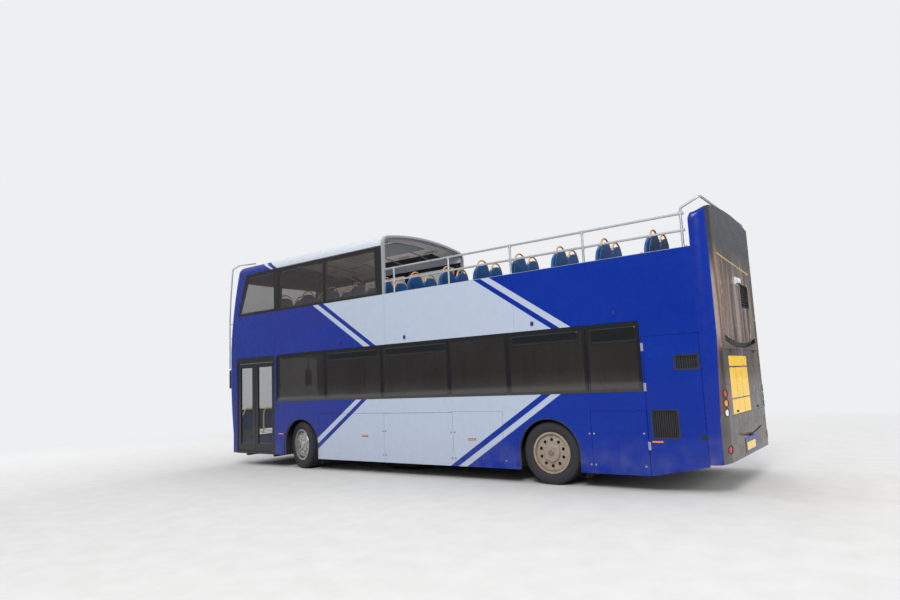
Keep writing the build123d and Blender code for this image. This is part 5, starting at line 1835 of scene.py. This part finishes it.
    def mudflaps(self) -> None:
        """Rubber flaps behind the wheels, with their bolts."""
        form = Form()
        for x, y in self.mudflap_places:
            form.block((-0.004, -0.24, 0.115), (0.004, 0.26, 0.50), 0.002, at=(x, y, 0))
            for dy in (-0.18, 0.0, 0.18):
                form.turned(disc(0.009, 0.003, 0.007), (x, y + dy, 0.47), REARWARD, 6)
        form.mirrored().piece("mudflaps", Finish.RUBBER)


@dataclass
class GlazingTrim:
    """Opening hoppers of the saloon and the bars behind the canopy's glass."""

    hoppers: tuple[tuple[float, float, float, float], ...] = (
        (0.640, 1.930, 2.085, 2.212), (-0.930, 0.420, 2.085, 2.212),
        (-3.340, -2.235, 2.085, 2.212), (-4.205, -3.552, 2.022, 2.212),
    )
    pillars: tuple[tuple[float, float], ...] = ((3.385, 3.535), (1.952, 2.004), (0.520, 0.545))

    def build(self) -> None:
        """Adds the hoppers over the saloon windows and the canopy's inner pillars."""
        frames, panes = Form(), Form()
        for x0, x1, z0, z1 in self.hoppers:
            frames.stamp(self.hopper(x0, x1, z0, z1))
            low, high = (x0 + 0.006, 0.0005, z0 + 0.006), (x1 - 0.006, 0.003, z1 - 0.006)
            panes.block(low, high, 0.0008, 1, NEARSIDE)
        frames.mirrored().piece("hopper_frames", Finish.BLACK)
        panes.mirrored().piece("hopper_panes", Finish.HOPPER)
        pillars = Form()
        inner = HALF_WIDTH - 0.012
        for x0, x1 in self.pillars:
            pillars.block((x0, inner - 0.045, 3.225), (x1, inner, 4.075), 0.006)
        pillars.mirrored().piece("canopy_inner_pillars", Finish.PLASTIC)

    def hopper(self, x0: float, x1: float, z0: float, z1: float) -> Form:
        """A hopper window's frame on the nearside.

        Args:
            x0: Its rear edge.
            x1: Its front edge.
            z0: Its lower edge.
            z1: Its upper edge.

        Returns:
            Its form.
        """
        y = HALF_WIDTH
        middle = (x0, y, (z0 + z1) / 2)
        corners = [middle, (x0, y, z1), (x1, y, z1), (x1, y, z0), (x0, y, z0), middle]
        form = Form().bar(rounded(corners, 0.022, 4)[:-1], 0.0085, closed=True)
        form.block((x0 + 0.01, 0.001, z0 + 0.006), (x1 - 0.01, 0.004, z0 + 0.020), 0.001, at=NEARSIDE)
        return form.block((-0.035, -0.012, -0.028), (0.035, 0.002, -0.010), at=((x0 + x1) / 2, y, z1))


@dataclass
class CanopyLining:
    """The pale lining under the canopy, with its bows, hatch and lamps."""

    crown_z: float = 4.420
    crown_r: float = 6.5
    eave_y: float = 1.105
    eave_r: float = 0.170
    bow_places: tuple[float, ...] = (0.47, 1.20, 1.98, 2.72, 3.46, 4.12)
    lamp_places: tuple[float, ...] = (0.86, 1.60, 2.34, 3.08, 3.80)

    def height(self, y: float, drop: float) -> float:
        """The height of the roof's underside.

        Args:
            y: The place across the bus.
            drop: How far below the roof's outside it lies.

        Returns:
            The height.
        """
        radius = self.crown_r - drop
        crown = self.crown_z - self.crown_r + math.sqrt(radius * radius - min(abs(y), self.eave_y) ** 2)
        over = max(0.0, abs(y) - self.eave_y)
        if not over:
            return crown
        corner = self.eave_r - drop
        return crown - corner + math.sqrt(max(0.0, corner * corner - over * over))

    def strip(
        self, xs: tuple[float, float], ys: tuple[float, float], drop: float, thick: float, count: int
    ) -> Form:
        """A curved sheet across the canopy.

        Args:
            xs: Its rear and front ends.
            ys: Its offside and nearside edges.
            drop: How far its top lies below the roof's outside.
            thick: Its thickness.
            count: How many faces go across.

        Returns:
            Its form.
        """
        across = [ys[0] + (ys[1] - ys[0]) * i / count for i in range(count + 1)]
        rows = [[(xs[0], y, self.height(y, drop) - down) for y in across] for down in (0.0, thick)]
        return Form().sheet(rows, (xs[1] - xs[0], 0, 0))

    def build(self) -> None:
        """Adds the lining, its bows, the roof hatch, a cove panel and the lamps."""
        lining = self.strip((0.462, 4.150), (-1.195, 1.195), 0.044, 0.006, 28)
        lining.piece("canopy_lining", Finish.LINING)
        bows = Form()
        for x in self.bow_places:
            bows.stamp(self.strip((x - 0.018, x + 0.018), (-1.190, 1.190), 0.051, 0.012, 20))
        bows.piece("canopy_bows", Finish.TRIM)
        hatch = self.strip((0.80, 2.60), (-0.45, 0.45), 0.052, 0.010, 12)
        hatch.piece("canopy_hatch", Finish.TRIM)
        cove = self.strip((0.90, 2.60), (-1.13, -0.82), 0.052, 0.008, 10)
        cove.piece("canopy_cove_panel", Finish.PLASTIC)
        lamps = Form()
        for x in self.lamp_places:
            for y in both(0.72):
                spot = (x, y, self.height(y, 0.066))
                lamps.block((-0.16, -0.035, -0.012), (0.16, 0.035, 0.006), 0.006, 3, spot)
        lamps.piece("canopy_lamps", Finish.LENS_CLEAR)


@dataclass
class RailFittings:
    """Collars and feet of the open deck's rails."""

    posts: tuple[float, ...] = (0.170, -1.060, -2.280, -3.520, -4.950)
    rail_heights: tuple[float, float] = (3.435, 3.665)
    foot: tuple[tuple[float, float], ...] = ((0, 0.006), (0.021, 0.006), (0.022, 0.004), (0.022, 0), (0, 0))

    def build(self) -> None:
        """Adds a collar at every joint and a foot under every post."""
        form = Form()
        y = HALF_WIDTH - 0.023
        for x in self.posts:
            form.turned(self.foot, (x, y, COAMING_Z + 0.008), UP)
            for z in self.rail_heights:
                form.bar([(x - 0.038, y, z), (x + 0.038, y, z)], 0.0205, 16)
                if x > self.posts[-1]:
                    form.bar([(x, y, z - 0.045), (x, y, z - 0.012)], 0.0205, 16)
        for z in self.rail_heights:
            form.bar([(0.352, y, z), (0.390, y, z)], 0.023, 16)
        form.mirrored().piece("rail_collars", Finish.STEEL)


@dataclass
class RearFittings:
    """What is fixed to the rear of the bus."""

    ledge_r: float = 4.6
    corner_r: float = 0.200
    lamp_r: float = 0.049
    lamp_heights: tuple[float, ...] = (0.565, 1.025, 1.145, 1.265)

    def build(self) -> None:
        """Adds the plate, the camera, the ledge, the lamps' rims, the catches and the louvre's rim."""
        self.plate()
        self.camera()
        self.ledge()
        self.lamp_rims()
        self.cover()
        self.vent_frame()

    def plate(self) -> None:
        """The blank registration plate in its blue surround, and its lamp."""
        for name, finish, low, high, bevel in (
            ("plate_surround", Finish.BLUE_PLASTIC, (-0.006, -0.420, 0.440), (0.002, 0.380, 0.640), 0.004),
            ("plate_frame", Finish.BLACK, (-0.010, -0.186, 0.468), (-0.004, 0.334, 0.579), 0.003),
            ("rear_plate", Finish.PLATE, (-0.0125, -0.183, 0.471), (-0.0095, 0.331, 0.576), 0.001),
        ):
            Form().block(low, high, bevel, at=REAR).piece(name, finish)
        lamp = Form().block((-0.040, 0.010, 0.652), (-0.002, 0.130, 0.684), 0.010, 3, REAR)
        lamp.block((-0.034, 0.020, 0.647), (-0.010, 0.120, 0.654), at=REAR)
        lamp.piece("plate_lamp", Finish.PLASTIC)

    def camera(self) -> None:
        """The pale housing of the reversing camera."""
        hood = Form().block((-0.060, -0.075, 2.792), (-0.001, 0.045, 2.872), 0.018, 4, REAR)
        hood.block((-0.012, -0.110, 2.775), (0.001, 0.080, 2.890), 0.005, at=REAR)
        hood.piece("camera_hood", Finish.WHITE)
        barrel = [(0, 0.030), (0.012, 0.030), (0.019, 0.024), (0.019, 0), (0, 0)]
        eye = Form().turned(barrel, (REAR_FACE_X - 0.034, -0.015, 2.798), (-0.55, 0.0, -0.84))
        eye.piece("camera_eye", Finish.BLACK)

    def ledge(self) -> None:
        """The black lip that runs under the rear ledge."""
        radius, steps = self.ledge_r, 24
        ys = [-0.900 + 1.800 * i / steps for i in range(steps + 1)]
        path = [(REAR_FACE_X - 0.003, y, 1.875 + radius - math.sqrt(radius ** 2 - y * y)) for y in ys]
        Form().bar(path, 0.0075, 10).piece("ledge_lip", Finish.RUBBER)

    def lamp_rims(self) -> None:
        """Black rims round the lamps of the rear corners, which follow the corners' rounding."""
        form = Form()
        corner, radius, steps = self.corner_r, self.lamp_r, 24
        for z in self.lamp_heights:
            path = []
            for i in range(steps):
                angle = 2 * math.pi * i / steps
                y = HALF_WIDTH - 0.145 + radius * math.cos(angle)
                over = max(0.0, abs(y) - (HALF_WIDTH - corner))
                depth = corner - math.sqrt(max(0.0, corner ** 2 - over * over))
                path.append((REAR_FACE_X + depth - 0.001, y, z + radius * math.sin(angle)))
            form.bar(path, 0.0055, closed=True)
        form.mirrored().piece("rear_lamp_rims", Finish.PLASTIC)

    def cover(self) -> None:
        """Catches and hinges of the engine door."""
        knob = [(0, 0.011), (0.010, 0.011), (0.012, 0.006), (0.012, 0), (0, 0)]
        catches, hinges = Form(), Form()
        for y in both(0.62):
            catches.block((-0.005, -0.045, 1.000), (0.001, 0.045, 1.030), at=(REAR_FACE_X, y, 0))
            catches.turned(knob, (REAR_FACE_X, y, 1.015), REARWARD, 18)
        catches.piece("engine_cover_catches", Finish.PLASTIC, "engine_cover")
        for y in both(0.70):
            hinges.block((-0.004, -0.060, 1.800), (0.001, 0.060, 1.828), 0.002, at=(REAR_FACE_X, y, 0))
            hinges.bar([(REAR_FACE_X - 0.004, y + dy, 1.829) for dy in (-0.058, 0.058)], 0.005, 10)
        hinges.piece("engine_cover_hinges", Finish.PLASTIC, "engine_cover")

    def vent_frame(self) -> None:
        """The rim of the louvre in the rear upper panel, and the meshes behind the fixed grilles."""
        x = REAR_FACE_X
        corners = [(x, -0.470, 2.470), (x, -0.240, 2.470), (x, -0.240, 2.810), (x, -0.700, 2.810),
                   (x, -0.700, 2.470), (x, -0.470, 2.470)]
        rim = Form().bar(rounded(corners, 0.025, 4)[:-1], 0.006, closed=True)
        rim.piece("rear_vent_rim", Finish.PLASTIC)
        offside = (0, -HALF_WIDTH, 0)
        back = Form().block((-4.895, 0.032, 0.625), (-4.335, 0.036, 1.445), 0.0005, 1, offside)
        back.block((0.030, -0.690, 2.480), (0.034, -0.250, 2.800), 0.0005, 1, REAR)
        back.piece("fixed_grille_mesh", Finish.MESH)


@dataclass
class FrontFittings:
    """The blind box, wipers, plate and lamps of the front."""

    nodes: dict[str, bpy.types.Object]
    panels: tuple[str, ...] = (
        "front_lower_panel", "front_upper_panel", "windscreens", "head_lamps", "fixed_grilles"
    )
    lamp_places: tuple[float, float] = (0.800, 0.955)
    lamp_z: float = 0.645

    def __post_init__(self) -> None:
        """Reads the meshes of the front's panels."""
        mesh = bmesh.new()
        for name in self.panels:
            mesh.from_mesh(self.nodes[name].data)
        self.skin = BVHTree.FromBMesh(mesh)
        mesh.free()

    def on_front(self, y: float, z: float, out: float) -> Vector:
        """A point off the front skin."""
        hit = self.skin.ray_cast(Vector((8.0, y, z)), Vector(REARWARD))[0]
        return (hit or Vector((5.2, y, z))) + Vector((out, 0.0, 0.0))

    def patch(self, ys: tuple[float, float], zs: tuple[float, float], out: float) -> Form:
        """A thin sheet that follows the curved front.

        Args:
            ys: Its offside and nearside edges.
            zs: Its lower and upper edges.
            out: How far its back stands off the skin.

        Returns:
            Its form.
        """
        columns, rows, thick = 16, 5, 0.004
        net = []
        for i in range(rows + 1):
            z = zs[0] + (zs[1] - zs[0]) * i / rows
            across = [ys[0] + (ys[1] - ys[0]) * k / columns for k in range(columns + 1)]
            net.append([self.on_front(y, z, out) for y in across])
        return Form().sheet(net, (thick, 0, 0))

    def build(self) -> None:
        """Adds the front's fittings."""
        self.blind_box()
        self.wipers()
        self.plate()
        self.lamps()

    def blind_box(self) -> None:
        """The black glass of the destination box, left blank."""
        self.patch((-0.86, 0.86), (2.520, 2.920), 0.001).piece("blind_glass", Finish.HOPPER)
        form = Form()
        for z in (2.512, 2.928):
            form.bar([self.on_front(-0.87 + 0.116 * i, z, 0.003) for i in range(16)], 0.007)
        for y in both(0.87):
            form.bar([self.on_front(y, 2.512 + 0.052 * i, 0.003) for i in range(9)], 0.007)
        form.piece("blind_frame", Finish.RUBBER)

    def wipers(self) -> None:
        """Two wipers parked upright on the lower windscreen."""
        form = Form()
        hub = [(0, 0.032), (0.018, 0.032), (0.024, 0.020), (0.026, 0), (0, 0)]
        for y in (-0.30, 0.62):
            foot = self.on_front(y, 1.060, 0.006)
            tip = self.on_front(y - 0.10, 1.780, 0.030)
            elbow = self.on_front(y - 0.02, 1.200, 0.040)
            form.turned(hub, foot, ALONG)
            form.bar([foot + Vector((0.018, 0, 0)), elbow, tip], 0.007)
            blade = [self.on_front(y - 0.10 - 0.004 * i, 1.300 + 0.090 * i, 0.014) for i in range(11)]
            form.bar(blade, 0.0065, 6)
            form.bar([tip, self.on_front(y - 0.12, 1.760, 0.016)], 0.008)
        form.piece("wipers", Finish.PLASTIC)

    def plate(self) -> None:
        """The blank front plate and the lower lip."""
        self.patch((-0.26, 0.26), (0.395, 0.506), 0.002).piece("front_plate", Finish.WHITE)
        lip = [self.on_front(-1.10 + 0.11 * i, 0.345, 0.001) for i in range(21)]
        Form().bar(lip, 0.008).piece("front_lip", Finish.RUBBER)

    def lamps(self) -> None:
        """Rims, bowls and bulbs of the head lamps, the turn lamps, and the small lamps above."""
        points = [self.on_front(y, self.lamp_z, 0.001) for y in both(*self.lamp_places)]
        for name, finish, steps, profile in (
            ("head_lamp_rims", Finish.SILVER, 40,
             ((0.060, 0.010), (0.070, 0.010), (0.073, 0.0), (0.056, 0.0), (0.060, 0.010))),
            ("head_lamp_bowls", Finish.SILVER, 40,
             ((0, 0.001), (0.022, 0.0015), (0.050, 0.006), (0.0585, 0.0095), (0.0590, 0), (0, 0))),
            ("head_lamp_bulbs", Finish.LENS_CLEAR, 24,
             ((0, 0.014), (0.012, 0.013), (0.019, 0.009), (0.021, 0.001), (0, 0.001))),
        ):
            form = Form()
            for point in points:
                form.turned(profile, point, ALONG, steps)
            form.piece(name, finish)
        turns = Form()
        for low, high in ((-1.108, -1.040), (1.040, 1.108)):
            turns.stamp(self.patch((low, high), (0.578, 0.712), 0.0015))
        turns.piece("front_turn_lamps", Finish.LENS_AMBER)
        markers = Form()
        for y in both(1.05):
            markers.block((-0.02, -0.04, -0.02), (0.012, 0.04, 0.02), 0.006, 3, self.on_front(y, 4.170, 0.0))
        markers.piece("front_marker_lamps", Finish.LENS_CLEAR)


@dataclass
class DoorDetails:
    """Seals, grab rails, the step and the release button of the passenger door."""

    inner: float = HALF_WIDTH - 0.085
    rail_r: float = 0.0145

    def rail(self, corners: Sequence[tuple[float, float, float]], radius: float) -> Form:
        """A grab rail inside a door leaf."""
        points = rounded([(x, self.inner + out, z) for x, out, z in corners], radius)
        return Form().bar(points, self.rail_r, 12)

    def build(self) -> None:
        """Adds the door's details."""
        for name, x in (("front", 4.225), ("rear", 4.195)):
            seal = Form().block((-0.009, -0.037, 0.330), (0.009, -0.004, 2.150), 0.004, at=(x, HALF_WIDTH, 0))
            seal.piece("door_seal_" + name, Finish.RUBBER, "door_" + name)
        out = 0.035
        front = (
            (4.300, out, 1.190), (4.300, 0, 1.190), (4.640, 0, 1.190), (4.700, 0, 1.120), (4.700, out, 1.050)
        )
        self.rail(front, 0.05).piece("door_rail_front", Finish.YELLOW, "door_front")
        rear = (
            (3.660, out, 1.200), (3.700, 0, 1.200), (3.960, 0, 1.200), (4.030, 0, 1.100), (4.030, 0, 0.720),
            (4.030, out, 0.700),
        )
        self.rail(rear, 0.06).piece("door_rail_rear", Finish.YELLOW, "door_rear")
        step = Form().block((3.600, -0.075, 0.300), (4.800, -0.045, 0.306), 0.002, at=NEARSIDE)
        step.piece("door_step_nosing", Finish.YELLOW)
        knob = [(0, 0.010), (0.014, 0.010), (0.016, 0.006), (0.016, 0), (0, 0)]
        button = Form().turned(knob, (3.505, HALF_WIDTH, 1.240))
        button.block((3.480, -0.001, 1.200), (3.530, 0.002, 1.280), 0.001, at=NEARSIDE)
        button.piece("door_release", Finish.PLASTIC)


@dataclass
class Saloon:
    """What shows of the lower saloon through its windows."""

    rail_r: float = 0.0145
    duct: tuple[tuple[float, float], ...] = (
        (1.228, 2.336), (1.228, 2.205), (1.205, 2.190), (1.120, 2.250), (1.020, 2.336)
    )
    bell_places: tuple[float, ...] = (1.795, 0.341, -1.113, -2.090)

    def build(self) -> None:
        """Adds the ceiling, its lamps and ducts, the grab rails and the bell pushes."""
        ceiling = Form().block((-4.20, -1.225, 2.340), (4.60, 1.225, 2.352), 0.004)
        ceiling.piece("saloon_ceiling", Finish.LINING)
        lamps = Form()
        for x in range(-4, 4):
            for y in both(0.42):
                lamps.block((x + 0.1, y - 0.05, 2.328), (x + 0.9, y + 0.05, 2.341), 0.005, 3)
        lamps.piece("saloon_lamps", Finish.LENS_CLEAR)
        ducts = Form().plate([(-4.18, y, z) for y, z in self.duct], (7.58, 0, 0), 0.006)
        ducts.mirrored().piece("saloon_ducts", Finish.TRIM)
        rails = Form()
        for y in both(0.34):
            rails.bar([(-2.02, y, 2.18), (1.80, y, 2.18)], self.rail_r, 12)
        rails.piece("saloon_rails", Finish.YELLOW)
        buttons = Form()
        for x in self.bell_places:
            for y in both(0.35):
                buttons.block((-0.024, -0.026, 1.400), (0.024, 0.026, 1.500), 0.010, 3, (x, y, 0))
        buttons.piece("bell_pushes", Finish.LENS_RED)


@dataclass
class UpperDeck:
    """Fittings of the upper deck."""

    speaker_places: tuple[float, ...] = (-3.9, -2.1, -0.3)
    rib_places: tuple[float, ...] = (-4.70, -3.48, -2.25, -1.03, 0.19)

    def build(self) -> None:
        """Adds the aisle's edging, the front rail, the speakers and the side walls' ribs."""
        edging = Form()
        for y in both(0.345):
            edging.block((-4.90, -0.014, 0.0), (0.44, 0.014, 0.004), 0.0015, at=(0, y, UPPER_FLOOR_Z))
        edging.piece("aisle_edging", Finish.YELLOW)
        half = [(4.55, 1.10, 2.435), (4.55, 1.10, 3.16), (4.60, 0.98, 3.19)]
        corners = [(x, -y, z) for x, y, z in half] + half[::-1]
        Form().bar(rounded(corners, 0.10), 0.016, 12).piece("front_window_rail", Finish.YELLOW)
        speakers = Form()
        for x in self.speaker_places:
            for y in both(HALF_WIDTH - 0.052):
                speakers.block((-0.08, -0.012, 3.02), (0.08, 0.012, 3.14), 0.010, 3, (x, y, 0))
        speakers.piece("deck_speakers", Finish.PLASTIC)
        ribs = Form()
        for x in self.rib_places:
            ribs.block((-0.025, -0.075, 2.435), (0.025, -0.041, 3.190), 0.006, at=(x, HALF_WIDTH, 0))
        ribs.mirrored().piece("side_wall_ribs", Finish.TRIM)


@dataclass
class Underbody:
    """The tail pipe and the air tanks below the floor."""

    pipe_r: float = 0.048
    tank_places: tuple[tuple[float, float], ...] = ((0.20, -0.62), (-0.85, -0.62), (0.20, 0.62))

    def build(self) -> None:
        """Adds the tail pipe and the air tanks."""
        corners = [(-4.30, -0.62, 0.42), (-4.62, -0.62, 0.40), (-4.78, -0.84, 0.38), (-5.12, -0.90, 0.42)]
        Form().bar(rounded(corners, 0.10), self.pipe_r, 20).piece("tail_pipe", Finish.IRON)
        tanks = Form()
        profile = [(0, 0), (0.06, 0.010), (0.105, 0.050), (0.115, 0.10), (0.115, 0.70), (0.105, 0.75),
                   (0.06, 0.790), (0, 0.80)]
        for x, y in self.tank_places:
            tanks.turned(profile, (x, y, 0.131), ALONG, 28)
        tanks.piece("air_tanks", Finish.CHASSIS)


def dress(nodes: dict[str, bpy.types.Object]) -> None:
    """Puts each node's finish in its material slots.

    Args:
        nodes: The frame's nodes by name.
    """
    finishes = {name: finish for finish, names in FINISHED_NODES.items() for name in names.split()}
    for name, node in nodes.items():
        material = finishes[name].material()
        if not node.material_slots:
            node.data.materials.append(material)
        for place in node.material_slots:
            place.material = material
        smooth(node)


def main() -> None:
    """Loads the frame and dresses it."""
    logging.basicConfig(level=logging.INFO)
    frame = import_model()
    studio = Studio()
    studio.place_camera()
    studio.light()
    studio.lay_floor()
    nodes = frame["nodes"]
    dress(nodes)
    for shop in (
        SideTrim(), GlazingTrim(), CanopyLining(), RailFittings(), RearFittings(), FrontFittings(nodes),
        DoorDetails(), Saloon(), UpperDeck(), Underbody(), SeatShop(), WheelShop(),
    ):
        shop.build()
    log.info("dressed %d nodes", len(nodes))


if __name__ == "__main__":
    main()
